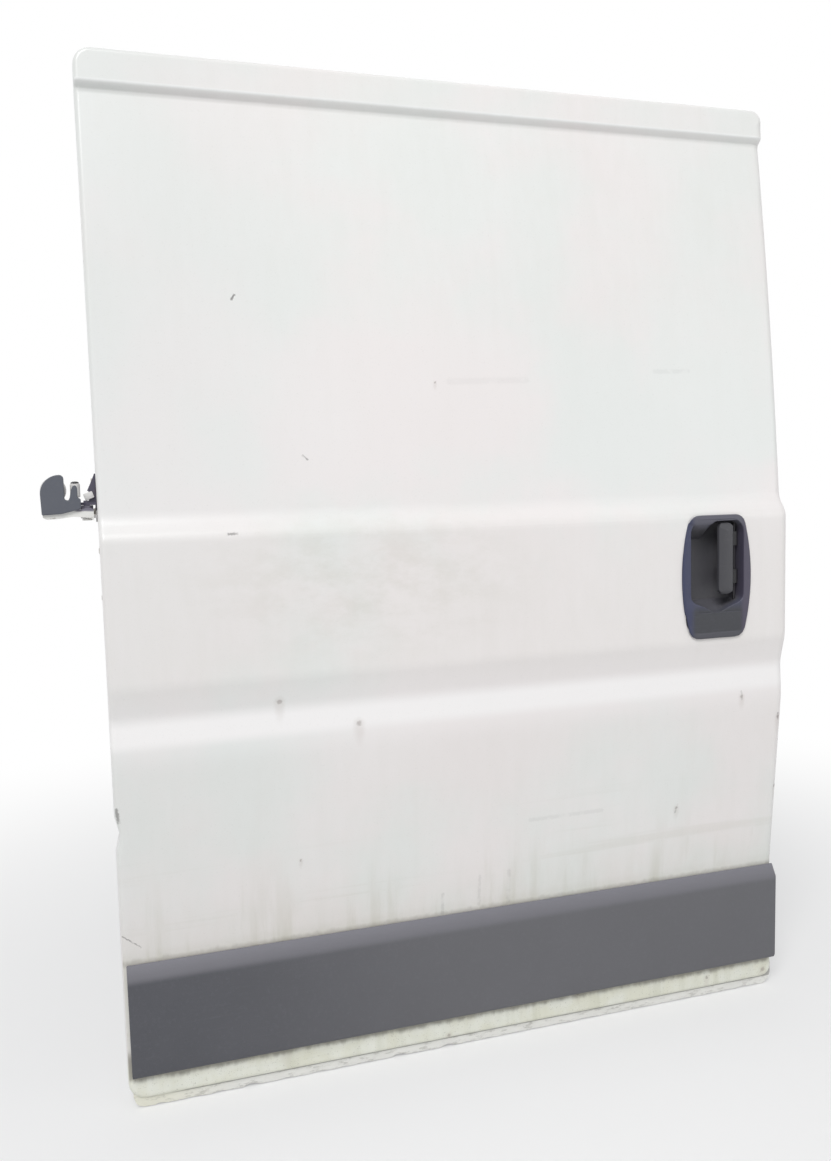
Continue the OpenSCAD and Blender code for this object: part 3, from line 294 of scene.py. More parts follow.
# Orange peel: the fine ripple of sprayed paint.
peel, peel_in, peel_out = group("orange_peel", {"Grain": 260.0}, ["Height"])
ripple = put(peel, "TexNoise", Vector=here(peel), Scale=peel_in["Grain"], Detail=2.0)
peel.links.new(ripple.outputs["Fac"], peel_out["Height"])


def door_spot(from_rear, up):
    """A place on the skin, from the rear edge and the lowest edge, in metres."""
    return (from_rear + rear_edge, 0.0, up + door_foot)


white_paint, tree, place = finish_for("white_paint", Coat_Weight=0.25, Coat_Roughness=0.22)
facing = along(put(tree, "TexCoord").outputs["Normal"], "Y")
outside = fade(facing, -0.75, -0.35, 1.0, 0.0)
across, height = (along(place, axis) for axis in "XZ")

# road dirt by height, as shares of the door: sill, above the moulding, lower
# panel, fold, belt, shoulder and the clean upper panel; the near-clean dip at
# the strip under the fold is painted light, for the light that strip catches
from_foot = calc("SUBTRACT", height, door_foot)
rows = put(tree, "ValToRGB", _0=calc("DIVIDE", from_foot, door_height))
# painted light: the stops at 0.36 and 0.385, the strip under the fold, hold almost no dirt
stops = (
    (0.0, 0.14), (0.03, 0.09), (0.145, 0.46), (0.160, 0.22), (0.21, 0.13), (0.33, 0.11), (0.36, 0.02),
    (0.385, 0.02), (0.42, 0.14), (0.50, 0.13), (0.555, 0.10), (0.575, 0.03), (0.70, 0.06), (0.80, 0.11),
    (1.0, 0.13),
)
while len(rows.color_ramp.elements) < len(stops):
    rows.color_ramp.elements.new(0.5)
for element, (share_up, amount) in zip(rows.color_ramp.elements, stops):
    element.position = share_up
    element.color = (amount, amount, amount, 1)
patches = cloud(place, 5.0, 6.0)
fine_dirt = cloud(stretched(place, (1.0, 1.0, 0.35)), 65.0, 5.0)
streaks = fade(cloud(stretched(place, (36.0, 36.0, 1.3)), 1.0, 4.0), 0.40, 0.75)
spread = plus(times(patches, 0.75), times(fine_dirt, 0.6), times(streaks, 0.22))
dirt = times(rows.outputs[0], spread)

# splash: thrown up over the moulding and run into streaks
rise = calc("DIVIDE", calc("SUBTRACT", height, film_foot), film_reach)
blotches, fine_specks = cloud(place, 7.0, 6.0), cloud(place, 90.0, 3.0)
patchy = plus(times(blotches, 0.9), times(fine_specks, 0.35))
drips = fade(cloud(stretched(place, (42.0, 42.0, 1.6)), 1.0, 3.0), 0.42, 0.68)
splash = times(fade(rise, 0.0, 1.0, 1.0, 0.0), plus(patchy, times(drips, 0.7)))
splash = calc("MULTIPLY", splash, 0.12, clamp=True)
dirt = calc("ADD", dirt, splash, clamp=True)

# a smudge on the belt, rain runs over the moulding and wiping marks across them
smudge_at = far_from(place, (0.45, 0.0, 1.0), (-0.085, 0.0, 0.745))
wiped = fade(cloud(stretched(place, (1.0, 1.0, 1.8)), 12.0, 7.0, 0.68), 0.38, 0.66)
smudge = times(fade(smudge_at, 0.02, 0.17, 0.17, 0.0), wiped)
runs = fade(cloud(stretched(place, (26.0, 26.0, 0.9)), 1.0, 5.0), 0.52, 0.66)
runs = times(runs, fade(height, 0.17, 0.34, 0.19, 0.0))
cross = fade(cloud(stretched(place, (1.2, 1.2, 34.0)), 1.0, 4.0), 0.56, 0.70)
cross = times(cross, fade(height, 0.20, 0.46, 0.14, 0.0))
dirt = calc("ADD", dirt, most(smudge, most(runs, cross)), clamp=True)
dirt = times(dirt, outside)

# the white itself: warmer at the waist and the chest, greener elsewhere
waist = fade(far_from(place, (0.35, 0.0, 1.0), (0.0, 0.0, 0.64)), 0.10, 0.36, 0.11, 0.0)
chest = fade(far_from(place, (0.8, 0.0, 1.0), (-0.07, 0.0, 0.97)), 0.05, 0.26, 0.13, 0.0)
blush = calc("SUBTRACT", cloud(place, 2.6, 5.0), most(waist, chest))
colour = tint(fade(blush, 0.40, 0.60), (0.845, 0.805, 0.798), (0.795, 0.816, 0.798))
clouded = fade(cloud(place, 1.6, 3.0), 0.35, 0.65, 0.0, 0.35)
colour = tint(clouded, colour, (0.86, 0.86, 0.85))
# the rear of the upper panel has dulled
dulled = times(fade(across, -0.58, -0.10, 1.0, 0.0), fade(height, 0.55, 1.45, 0.20, 0.50))
colour = tint(times(dulled, outside), colour, (0.66, 0.675, 0.670))
# painted light: the groove under the top band is lightened, to thin the shade on its sloped wall
groove_painted_light = fade(height, groove_foot, groove_lip, 0.0, 0.75)
groove_painted_light = times(groove_painted_light, fade(height, groove_lip, groove_top, 1.0, 0.0))
colour = tint(times(groove_painted_light, outside), colour, (0.95, 0.96, 0.96))
# painted light: the strip under the fold is tinted lighter, for the light it catches facing up
colour = tint(band(height, fold_foot, 0.010, 0.030, 0.9), colour, (0.90, 0.885, 0.880))
# the sill has yellowed where water stands behind the moulding
stains = fade(cloud(place, 22.0, 5.0), 0.36, 0.64)
yellowed = tint(stains, (0.86, 0.87, 0.80), (0.80, 0.80, 0.69))
colour = tint(fade(height, 0.0, 0.02, 1.0, 0.0), colour, yellowed)
film = tint(fade(height, 0.0, 0.25), (0.47, 0.48, 0.35), (0.465, 0.45, 0.355))
colour = tint(dirt, colour, film)
grit = fade(cloud(place, 420.0, 2.0), 0.63, 0.70)
grit = times(grit, fade(height, -0.02, 0.10, 0.28, 0.05))
colour = tint(times(grit, outside), colour, (0.12, 0.10, 0.07))

# chips and scrapes, as from the rear edge and the lowest edge, with ragged edges
ragged = put(tree, "TexNoise", Vector=place, Scale=260.0, Detail=2.0).outputs["Color"]
shake = vector("SUBTRACT", ragged, (0.5, 0.5, 0.5))
shake = put(tree, "VectorMath", {"operation": "SCALE"}, _0=shake, Scale=0.004).outputs[0]
shaken = stretched(vector("ADD", place, shake), (1.0, 0.0, 1.0))
knocks = [
    use(tree, chip, Where=shaken, Place=door_spot(from_rear, up), Size=size)
    for from_rear, up, size in (
        (0.250, 0.621, 0.0050), (0.374, 0.576, 0.0054), (1.073, 0.556, 0.0036), (1.153, 0.512, 0.0046),
        (0.951, 0.364, 0.0034), (1.158, 0.380, 0.0044), (0.522, 1.105, 0.0020), (0.277, 0.362, 0.0022),
        (0.243, 0.056, 0.0062), (0.760, 0.050, 0.0030), (1.020, 0.035, 0.0036), (0.520, 0.022, 0.0034),
        (1.140, 0.030, 0.0050),
    )
]
rubs = []
for start, end, width, strength in (
    ((0.2085, 1.2285), (0.2125, 1.2350), 0.0026, 0.75), ((0.303, 0.994), (0.310, 0.988), 0.0020, 0.55),
    ((0.182, 0.8800), (0.196, 0.8805), 0.0026, 0.6), ((0.003, 0.279), (0.029, 0.257), 0.0015, 0.6),
    ((0.546, 1.107), (0.680, 1.110), 0.0075, 0.05), ((0.918, 1.125), (0.983, 1.126), 0.0055, 0.07),
    ((0.003, 0.480), (0.006, 0.460), 0.0038, 0.65), ((0.669, 0.378), (0.804, 0.3785), 0.0050, 0.085),
    ((1.074, 0.552), (1.072, 0.566), 0.0026, 0.22), ((0.949, 0.356), (0.954, 0.371), 0.0022, 0.3),
    ((1.153, 0.508), (1.152, 0.518), 0.0032, 0.45), ((0.514, 0.234), (0.515, 0.268), 0.0040, 0.16),
    ((0.579, 0.240), (0.580, 0.290), 0.0040, 0.12), ((0.632, 0.236), (0.633, 0.292), 0.0055, 0.13),
):
    rub = use(tree, scrape, Where=shaken, From=door_spot(*start), To=door_spot(*end), Width=width)["Mask"]
    rubs.append(times(rub, strength))
broken = fade(cloud(place, 55.0, 3.0), 0.36, 0.50, 0.25, 1.0)
core = times(most(*(knock["Core"] for knock in knocks)), outside)
stain = times(most(*(knock["Stain"] for knock in knocks)), outside)
marks = times(most(*rubs), outside, broken)
colour = tint(stain, colour, (0.36, 0.29, 0.24))
colour = tint(times(core, 0.42), colour, (0.23, 0.18, 0.17))
colour = tint(marks, colour, (0.11, 0.105, 0.10))

# wet dirt lies along the moulding, above and below it
tide = plus(height, times(calc("SUBTRACT", fine_dirt, 0.5), 0.016))
under = fade(tide, sill_line - 0.0105, sill_line, 0.0, 0.75)
under = times(under, fade(height, 0.02, 0.04, 1.0, 0.0))
over = band(tide, moulding_line, 0.0, 0.009, 0.35)
colour = tint(times(most(under, over), outside), colour, (0.22, 0.20, 0.16))

matt = plus(0.34, times(most(dirt, core), 0.5))
ripples = times(use(tree, peel, Grain=320.0)["Height"], 0.05)
buckle = times(cloud(place, 2.2, 1.0), 2.0)
relief = plus(ripples, times(most(core, marks), -1.0), buckle)
wire(tree, colour, matt, relief, 0.0004)

crease = radians(35)


def split_at(part, angle):
    """Sharp edges past an angle."""
    split = part.modifiers.new("crease", "EDGE_SPLIT")
    split.split_angle = angle
    split.use_edge_sharp = False


def dress(node, material, round_edge=None):
    """Gives a CAD solid its finish, and joins its triangles and eases its edges by modifiers alone."""
    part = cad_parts[node]
    part.data.materials.clear()
    part.data.materials.append(material)
    part.data.polygons.foreach_set("use_smooth", [True] * len(part.data.polygons))
    join = part.modifiers.new("join", "WELD")
    join.merge_threshold = 0.00002
    if round_edge:
        clean = part.modifiers.new("clean", "DECIMATE")
        clean.decimate_type = "DISSOLVE"
        clean.angle_limit = radians(0.8)
        ease = part.modifiers.new("ease", "BEVEL")
        ease.width = round_edge
        ease.segments = 2
        ease.limit_method = "ANGLE"
        ease.angle_limit = crease
        ease.use_clamp_overlap = True
    split_at(part, crease)
    even = part.modifiers.new("even", "WEIGHTED_NORMAL")
    even.keep_sharp = True


dress("outer_skin", white_paint)

# The inner panel: one pressed sheet with its tray, seal land, raised middle and
# apertures, hemmed into the skin and spot welded along its edges. Thin satin
# paint, dust on every ledge, rubber plugs in the drain holes.
weld_d = 0.0055
weld_pitch_along, weld_pitch_up = 0.075, 0.09
land_low, land_high, land_side = -0.028, 1.504, 0.5685
plug_r = 0.0135

dust, dust_in, dust_out = group("settled_dust", {"Amount": 0.5}, ["Mask"])
sky = along(put(dust, "NewGeometry").outputs["Normal"], "Z")
place = here(dust)
even_film = times(cloud(place, 11.0, 5.0), 0.42)
speck = times(fade(cloud(place, 160.0, 4.0), 0.5, 0.75), 0.2)
total = plus(fade(sky, 0.15, 0.9), even_film, speck)
dust.links.new(calc("MULTIPLY", total, dust_in["Amount"], clamp=True), dust_out["Mask"])


def dusted(tree, amount, colour, tone):
    """How much dust lies on a place, most on what faces up, and the colour under it."""
    film = use(tree, dust, Amount=amount)["Mask"]
    return film, tint(film, colour, tone)


def paler(colour, share):
    """A colour brought up or down by a share."""
    return tuple(part * share for part in colour)


def painted(name, colour, dusty, grime, roughness=0.42, coat=0.1):
    """Satin paint on pressed steel, with dust and handling grime."""
    made, tree, place = finish_for(name, Coat_Weight=coat, Coat_Roughness=0.3)
    base = tint(cloud(place, 3.0, 4.0), colour, paler(colour, 0.93))
    smear = cloud(stretched(place, (9.0, 9.0, 3.0)), 1.0, 6.0)
    smear = fade(smear, 0.48, 0.72, 0.0, grime)
    base = tint(smear, base, (0.24, 0.21, 0.17))
    film, base = dusted(tree, dusty, base, (0.44, 0.40, 0.33))
    matt = plus(roughness, times(most(film, smear), 0.4))
    relief = times(use(tree, peel, Grain=420.0)["Height"], 0.12)
    wire(tree, base, matt, relief, 0.0003)
    return made


surfaces = {}
from_inside = (0, -1, 0)
in_front, behind, beside = -0.3, 0.3, 0.75


def seat_on(node, start, direction):
    """Where a line first meets a CAD solid, and the way the surface faces there."""
    if node not in surfaces:
        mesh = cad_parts[node].data
        faces = [face.vertices for face in mesh.polygons]
        surfaces[node] = BVHTree.FromPolygons([v.co for v in mesh.vertices], faces)
    spot, normal, _, _ = surfaces[node].ray_cast(Vector(start), Vector(direction))
    if normal.dot(Vector(direction)) > 0:
        normal = -normal
    return spot, normal


def seated(piece, node, start, direction, sink=0.0, spin=0.0):
    """Stands a piece made round the Z axis where a line meets a CAD solid."""
    spot, normal = seat_on(node, start, direction)
    turn = normal.to_track_quat("Z", "Y").to_matrix().to_4x4()
    move = Matrix.Translation(spot - normal * sink) @ turn @ Matrix.Rotation(spin, 4, "Z")
    bmesh.ops.transform(piece, matrix=move, verts=piece.verts)
    return piece


def lathed(profile, steps=20):
    """A turned piece round the Z axis, from its profile of radius and height."""
    bm = bmesh.new()
    chain = [bm.verts.new((r, 0, z)) for r, z in profile]
    edges = [bm.edges.new(pair) for pair in zip(chain, chain[1:])]
    bmesh.ops.spin(
        bm, geom=chain + edges, cent=(0, 0, 0), axis=(0, 0, 1), dvec=(0, 0, 0), angle=tau, steps=steps,
        use_merge=True,
    )
    bmesh.ops.remove_doubles(bm, verts=bm.verts, dist=0.000002)
    bmesh.ops.recalc_face_normals(bm, faces=bm.faces)
    return bm


def gathered(name, pieces, material, body="door"):
    """Joins like small pieces into one object that rides on a body."""
    whole = bmesh.new()
    for piece in pieces:
        spare = bpy.data.meshes.new("spare")
        piece.to_mesh(spare)
        piece.free()
        whole.from_mesh(spare)
        bpy.data.meshes.remove(spare)
    made = meshed(name, whole, material)
    made.data.shade_smooth()
    split_at(made, radians(40))
    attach(made, body)


inner_paint = painted("inner_paint", (0.70, 0.70, 0.68), 0.34, 0.16)
dress("inner_panel", inner_paint)

# spot welds: shallow pressed rounds along the seal land
weld_spots = [(k * weld_pitch_along, level) for level in (land_low, land_high) for k in range(-6, 7)]
weld_spots += [(side * land_side, 0.06 + k * weld_pitch_up) for side in (-1, 1) for k in range(16)]
weld_shape = [(0.0, 0.0), (weld_d * 0.30, 0.00005), (weld_d * 0.42, 0.00035), (weld_d * 0.5, 0.0)]
welds = [seated(lathed(weld_shape, 12), "inner_panel", (x, behind, z), from_inside) for x, z in weld_spots]
gathered("spot_welds", welds, inner_paint)


def rubber(name, colour=(0.022, 0.022, 0.023), dusty=0.3):
    """Moulded black rubber, greyed by dust and bloom."""
    made, tree, place = finish_for(name)
    base = tint(cloud(place, 30.0, 4.0), colour, paler(colour, 1.9))
    film, base = dusted(tree, dusty, base, (0.22, 0.20, 0.17))
    wire(tree, base, plus(0.68, times(film, 0.25)), cloud(place, 600.0, 2.0), 0.00012)
    return made


black_rubber = rubber("black_rubber")
plug_spots = (
    (0.30, -0.012), (0.0, -0.012), (-0.30, -0.012), (-0.49, 0.66), (0.16, 0.66),
    (0.16, 0.80), (-0.49, 0.80), (-0.499, 1.05), (0.499, 1.05), (-0.499, 1.33),
)
plug_shape = [
    (0.0, 0.0008), (plug_r * 0.62, 0.0008), (plug_r * 0.70, 0.0024), (plug_r * 0.92, 0.0022),
    (plug_r, 0.0010), (plug_r, 0.0),
]
plugs = [seated(lathed(plug_shape, 24), "inner_panel", (x, behind, z), from_inside) for x, z in plug_spots]
gathered("drain_plugs", plugs, black_rubber)

# The upper braces: two folded channels glued to the back of the skin with dabs
# of mastic that squeeze out beside them. Same thin paint as the panel.
brace_middle, dab_beside = 0.233, 0.0395
dab_levels = (0.965, 1.085, 1.205, 1.325, 1.415)
brace_paint = painted("brace_paint", (0.66, 0.66, 0.64), 0.25, 0.10, 0.5, 0.0)
dress("upper_braces", brace_paint)

mastic, tree, place = finish_for("mastic")
colour = tint(cloud(place, 60.0, 3.0), (0.33, 0.30, 0.24), (0.42, 0.39, 0.32))
film, colour = dusted(tree, 0.3, colour, (0.30, 0.27, 0.22))
wire(tree, colour, plus(0.6, times(film, 0.3)), cloud(place, 140.0, 3.0), 0.0012)

dabs = []
for brace in (-brace_middle, brace_middle):
    for side in (-1, 1):
        for k, level in enumerate(dab_levels):
            dab = bmesh.new()
            bmesh.ops.create_uvsphere(dab, u_segments=14, v_segments=8, radius=1.0)
            bmesh.ops.scale(dab, vec=(0.0062, 0.017 + 0.004 * cos(3 * k), 0.0030), verts=dab.verts)
            up = level + 0.006 * sin(5 * k + side)
            start = (brace + side * dab_beside, 0.2, up)
            dabs.append(seated(dab, "outer_skin", start, from_inside, -0.0014))
gathered("mastic_dabs", dabs, mastic)

# The side-impact beam: a drawn tube across the door with a foot plate welded to
# each end, dip-coated black and scratched where it was handled.
beam_paint, tree, place = finish_for("beam_paint")
rubbed = fade(cloud(stretched(place, (6.0, 90.0, 90.0)), 1.0, 5.0), 0.60, 0.72)
colour = tint(rubbed, (0.018, 0.018, 0.020), (0.09, 0.07, 0.05))
film, colour = dusted(tree, 0.55, colour, (0.20, 0.18, 0.15))
wire(tree, colour, plus(0.38, times(film, 0.45)), cloud(place, 300.0, 3.0), 0.0001)
dress("side_impact_beam", beam_paint)

# The side moulding: a long extruded-and-capped strip of grained grey plastic,
# clipped along the foot of the skin. Its top edge is bevelled, with the bevel
# painted lighter as a painted highlight; its face is scuffed and paler towards its
# front end, with road dust lying in the grain.
moulding_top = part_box("side_moulding")[1][2]
bevel_low, bevel_high = moulding_top - 0.029, moulding_top - 0.016

grain, grain_in, grain_out = group("plastic_grain", {"Scale": 900.0}, ["Height", "Pits"])
place = here(grain)
cells = put(grain, "TexVoronoi", Vector=place, Scale=grain_in["Scale"]).outputs["Distance"]
soft = put(grain, "TexNoise", Vector=place, Scale=times(grain_in["Scale"], 0.35), Detail=3.0)
grain.links.new(plus(cells, times(soft.outputs["Fac"], 0.6)), grain_out["Height"])
grain.links.new(fade(cells, 0.15, 0.5, 1.0, 0.0), grain_out["Pits"])

scuffs, scuffs_in, scuffs_out = group("scuffs", {"Cover": 0.5}, ["Mask"])
place = here(scuffs)
long_lines = cloud(stretched(place, (3.0, 30.0, 60.0)), 4.0, 6.0, 0.7)
where = fade(cloud(place, 6.0, 3.0), 0.42, 0.62)
scuffed = times(fade(long_lines, 0.54, 0.68), where)
scuffs.links.new(times(scuffed, scuffs_in["Cover"]), scuffs_out["Mask"])


def moulded(
    name, colour, worn, dusty, roughness=0.55, grain_size=900.0, scuff=0.4, dust_tone=(0.34, 0.32, 0.28),
    washes=(),
):
    """Grained plastic: washed with tones along its axes, which also carry painted light and shade, scuffed
    paler, dusty in its pits.
    """
    made, tree, place = finish_for(name)
    skin = use(tree, grain, Scale=grain_size)
    base = tint(cloud(place, 4.0, 4.0), colour, paler(colour, 1.14))
    for axis, low, high, tone in washes:
        base = tint(fade(along(place, axis), low, high), base, tone)
    rub = use(tree, scuffs, Cover=scuff)["Mask"]
    base = tint(rub, base, worn)
    film = use(tree, dust, Amount=dusty)["Mask"]
    in_pits = times(film, plus(0.55, times(skin["Pits"], 0.45)))
    base = tint(in_pits, base, dust_tone)
    matt = plus(roughness, times(most(film, rub), 0.3))
    relief = calc("SUBTRACT", skin["Height"], times(rub, 1.5))
    wire(tree, base, matt, relief, 0.00016)
    return made


# the strip pales towards its front end, and its bevel is painted lighter: a painted highlight where it faces
# the sky
moulding_plastic = moulded(
    "moulding_plastic", (0.062, 0.064, 0.074), (0.12, 0.12, 0.134), 0.60, 0.52, 820.0, 0.14,
    (0.215, 0.215, 0.248),
    (("X", -0.60, 0.02, (0.118, 0.119, 0.128)), ("Z", bevel_low, bevel_high, (0.175, 0.173, 0.193))),
)
dress("side_moulding", moulding_plastic, 0.0016)

# The bottom seal: an extruded rubber strip with a hollow bulb, pushed onto the
# bottom flange.
seal_rubber = rubber("seal_rubber", (0.026, 0.026, 0.026), 0.45)
dress("bottom_seal", seal_rubber)

# The hem's skirt: mastic and wax brushed along the turned-under foot of the skin
# and hanging from it, greyed, cracked and torn to a ragged edge.
skirt_top, skirt_foot, skirt_lowest = -0.0425, -0.0572, -0.0588
skirt_half, skirt_wall, skirt_set_back = 0.576, 0.0014, 0.0019
skirt_corner, skirt_end_rise = 0.018, 0.021
skirt_along, skirt_up = 300, 4

sealer, tree, place = finish_for("hem_sealer", Roughness=0.8)
length, level = (along(place, axis) for axis in "XZ")
flow = cloud(stretched(place, (0.4, 1.0, 1.3)), 130.0, 7.0, 0.66)
colour = tint(cloud(place, 24.0, 4.0), (0.72, 0.72, 0.70), (0.86, 0.86, 0.84))
colour = tint(fade(length, -0.57, -0.40, 0.8, 0.15), colour, (0.78, 0.77, 0.64))
colour = tint(fade(flow, 0.50, 0.66, 0.0, 0.42), colour, (0.26, 0.25, 0.22))
# a dark line along the top of the skirt: the skin's hem edge, with painted shade under it
hem_edge_and_shadow = times(fade(level, -0.0462, -0.0448, 0.0, 0.62), fade(length, -0.54, -0.48))
colour = tint(hem_edge_and_shadow, colour, (0.20, 0.19, 0.18))
wire(tree, colour, None, flow, 0.0012)

skirt_y = seat_on("outer_skin", (0, in_front, -0.0430), (0, 1, 0))[0].y + skirt_set_back
bm = bmesh.new()
bmesh.ops.create_grid(bm, x_segments=skirt_along, y_segments=skirt_up, size=0.5)
for v in bm.verts:
    x, rise = v.co.x * 2 * skirt_half, v.co.y + 0.5
    torn = 0.0017 * noise.noise(Vector((x * 55, 0, 0))) + 0.0016 * noise.noise(Vector((x * 190, 7, 0)))
    bite = 0.010 * max(0.0, noise.noise(Vector((x * 24, 3, 0))) - 0.25)
    past = max(0.0, (abs(x) - skirt_half) / skirt_corner + 1.0)
    foot = max(skirt_foot + torn + bite, skirt_lowest) + skirt_corner * (1.0 - sqrt(1.0 - past * past))
    top = skirt_top + skirt_end_rise * past
    wave = 0.0012 * noise.noise(Vector((x * 40, 11, rise))) * (1.0 - rise)
    v.co = (x, skirt_y + wave, foot + (top - foot) * rise)
bmesh.ops.solidify(bm, geom=bm.faces[:], thickness=skirt_wall)
bmesh.ops.recalc_face_normals(bm, faces=bm.faces)
gathered("hem_skirt", [bm], sealer)

# The handle's bezel: one thin black moulding clipped into the belt. Its barrel rim
# rolls back to the paint, its left side is dished, its bowl ramps down from the top
# beside the grip, and its lower lip sags over a hollow chin. Dust sits in the bowl.
bezel_low, bezel_high = (Vector(end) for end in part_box("handle_bezel"))
bezel_mid = (bezel_low + bezel_high) / 2
bezel_half = (bezel_high - bezel_low) / 2
rim_bulge, rim_corner, rim_roll, rim_stand = 0.016, 0.021, 0.0035, 0.0047
rim_turn_in, face_depth = 0.0012, 0.0006
side_r = (bezel_half.z ** 2 + rim_bulge ** 2) / (2 * rim_bulge)
turn_z = bezel_half.z - rim_corner
turn_x = sqrt((side_r - rim_corner) ** 2 - turn_z ** 2) - (side_r - bezel_half.x)
mouth_left, mouth_right, mouth_top, mouth_low = -0.050, 0.052, 0.098, -0.045
mouth_sag, mouth_sag_half, mouth_lip = 0.019, 0.044, 0.002
mouth_corner_top, mouth_corner_low = 0.023, 0.013
bowl_floor, bowl_rise, bowl_bend, bowl_ramp, bowl_draft = 0.038, 0.022, 0.005, 0.034, 0.004
dish_depth, chin_depth = 0.0034, 0.0060
bezel_wall = 0.0022
hub = Vector((0.001, 0.020))

# washes in order: lower half, foot, top painted lighter as a painted highlight, bowl
# in a grey tone raised as painted light in its shade, navy left side, right side in
# a lighter purple as painted light in its shade
bezel_plastic = moulded(
    "bezel_plastic", (0.036, 0.039, 0.070), (0.075, 0.077, 0.100), 0.25, 0.42, 1100.0, 0.22,
    (0.20, 0.20, 0.24),
    (
        ("Z", bezel_low.z + 0.062, bezel_low.z + 0.044, (0.036, 0.038, 0.045)),
        ("Z", bezel_low.z + 0.0125, bezel_low.z + 0.0095, (0.060, 0.061, 0.074)),
        ("Z", bezel_high.z - 0.060, bezel_high.z - 0.012, (0.092, 0.092, 0.118)),
        ("Y", bezel_low.y + 0.004, bezel_low.y + 0.016, (0.062, 0.061, 0.068)),
        ("X", bezel_low.x + 0.027, bezel_low.x + 0.013, (0.031, 0.037, 0.086)),
        ("X", bezel_high.x - 0.024, bezel_high.x - 0.014, (0.064, 0.056, 0.088)),
    ),
)


def past_rim(spot):
    """How far a place on the face lies beyond the barrel outline."""
    x, z = abs(spot.x), abs(spot.y)
    reach = x + side_r - bezel_half.x
    if x > turn_x and atan2(z, reach) > atan2(turn_z, turn_x + side_r - bezel_half.x):
        return hypot(x - turn_x, z - turn_z) - rim_corner
    return max(z - bezel_half.z, hypot(reach, z) - side_r)


def past_mouth(spot):
    """How far a place on the face lies beyond the mouth, whose lower edge sags."""
    middle = (mouth_left + mouth_right) / 2
    share = min(1.0, abs(spot.x - middle) / mouth_sag_half)
    low = mouth_low - mouth_sag * (1.0 - share) ** 1.2
    r = mouth_corner_top if spot.y > 0 else mouth_corner_low
    across = abs(spot.x - middle) - (mouth_right - mouth_left) / 2 + r
    upward = max(spot.y - mouth_top, low - spot.y) + r
    return hypot(across, upward) - r if across > 0 and upward > 0 else max(across, upward) - r


def step(value, low, high):
    """A soft step from 0 to 1."""
    share = min(1.0, max(0.0, (value - low) / (high - low)))
    return share * share * (3 - 2 * share)


def seen_from_hub(past, inset, count=96):
    """Evenly turned places on an outline, drawn in by a distance."""
    places = []
    for k in range(count):
        aim = Vector((cos(tau * k / count), sin(tau * k / count)))
        near, far = 0.0, 0.2
        while far - near > 1e-6:
            half = (near + far) / 2
            near, far = (half, far) if past(hub + aim * half) + inset < 0 else (near, half)
        places.append(hub + aim * near)
    return places


def sunk(spot):
    """Depth of the dished left side and of the hollow chin below the face."""
    dish = dish_depth * step(spot.x, -0.066, -0.048) * step(-spot.x, 0.02, 0.04)
    dish *= step(spot.y, -0.058, -0.036) * step(-spot.y, -0.102, -0.088)
    chin = chin_depth * step(-spot.y, 0.046, 0.086) * step(spot.y, -0.0965, -0.0925)
    chin *= step(-abs(spot.x), -0.050, -0.036)
    return max(dish, chin)


def quarter(k, count):
    """The sine and the cosine of one step of a quarter turn."""
    return sin(pi / 2 * k / count), cos(pi / 2 * k / count)


# rings of the moulding, from its back rim over the face and the lip to the bowl's floor
rings = [(seen_from_hub(past_rim, 0.0), rim_stand)]
for k in range(6):
    sine, cosine = quarter(k, 5)
    depth = (rim_stand - rim_turn_in) * (1 - sine) + face_depth * sine
    rings.append((seen_from_hub(past_rim, rim_roll * (1 - cosine)), depth))
rim_ring, lip_ring = rings[-1][0], seen_from_hub(past_mouth, -mouth_lip)
for k in range(1, 19):
    share = (k / 18) ** 1.3
    face_ring = [far.lerp(near, share) for far, near in zip(rim_ring, lip_ring)]
    rings.append((face_ring, face_depth * (1 - share)))
for k in range(1, 5):
    sine, cosine = quarter(k, 4)
    rings.append((seen_from_hub(past_mouth, -mouth_lip * (1 - sine)), mouth_lip * (1 - cosine)))
for k in range(1, 7):
    depth = mouth_lip + (bowl_floor - bowl_bend - mouth_lip) * k / 6
    rings.append((seen_from_hub(past_mouth, bowl_draft * k / 6), depth))
for k in range(1, 5):
    sine, cosine = quarter(k, 4)
    floor_ring = seen_from_hub(past_mouth, bowl_draft + bowl_bend * (1 - cosine))
    rings.append((floor_ring, bowl_floor - bowl_bend * (1 - sine)))

bm = bmesh.new()
for number, (places, depth) in enumerate(rings):
    if number == 0:
        verts = [bm.verts.new((spot.x, 0, spot.y)) for spot in places]
        edge = [bm.edges.new((verts[i - 1], verts[i])) for i in range(len(verts))]
    else:
        grown = bmesh.ops.extrude_edge_only(bm, edges=edge)["geom"]
        edge = [g for g in grown if isinstance(g, bmesh.types.BMEdge) and len(g.link_faces) == 1]
        fresh = {v for e in edge for v in e.verts}
        verts = [next(e.other_vert(v) for e in v.link_edges if e.other_vert(v) in fresh) for v in verts]
    for v, spot in zip(verts, places):
        dip = sunk(spot) * step(-depth, -0.012, -0.003)
        if depth > mouth_lip:
            share = (depth - mouth_lip) / (bowl_floor - mouth_lip)
            low = mouth_low - mouth_sag + bowl_rise * share
            high = mouth_top - bowl_ramp * share ** 0.6 * step(-spot.x, 0.0, 0.014)
            spot = Vector((spot.x, min(max(spot.y, low), high)))
        v.co = bezel_mid + Vector((spot.x, 0, spot.y))
        v.co.y = bezel_low.y + depth + dip
bmesh.ops.edgeloop_fill(bm, edges=edge)
bmesh.ops.recalc_face_normals(bm, faces=bm.faces)
if max(bm.faces, key=lambda f: f.calc_area()).normal.y > 0:
    bmesh.ops.reverse_faces(bm, faces=bm.faces)
bezel = meshed("bezel_moulding", bm, bezel_plastic)
bezel.data.shade_smooth()
wall = bezel.modifiers.new("wall", "SOLIDIFY")
wall.thickness = bezel_wall
wall.offset = -1.0
split_at(bezel, radians(50))
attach(bezel, "door")
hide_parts("handle_bezel")

# The grip and its pin: a moulded grey-black paddle hinged on an upright pin of
# blackened steel that is pressed into the bezel. Hands have polished the grip.
lugs_from = bezel_low.x + 0.1003

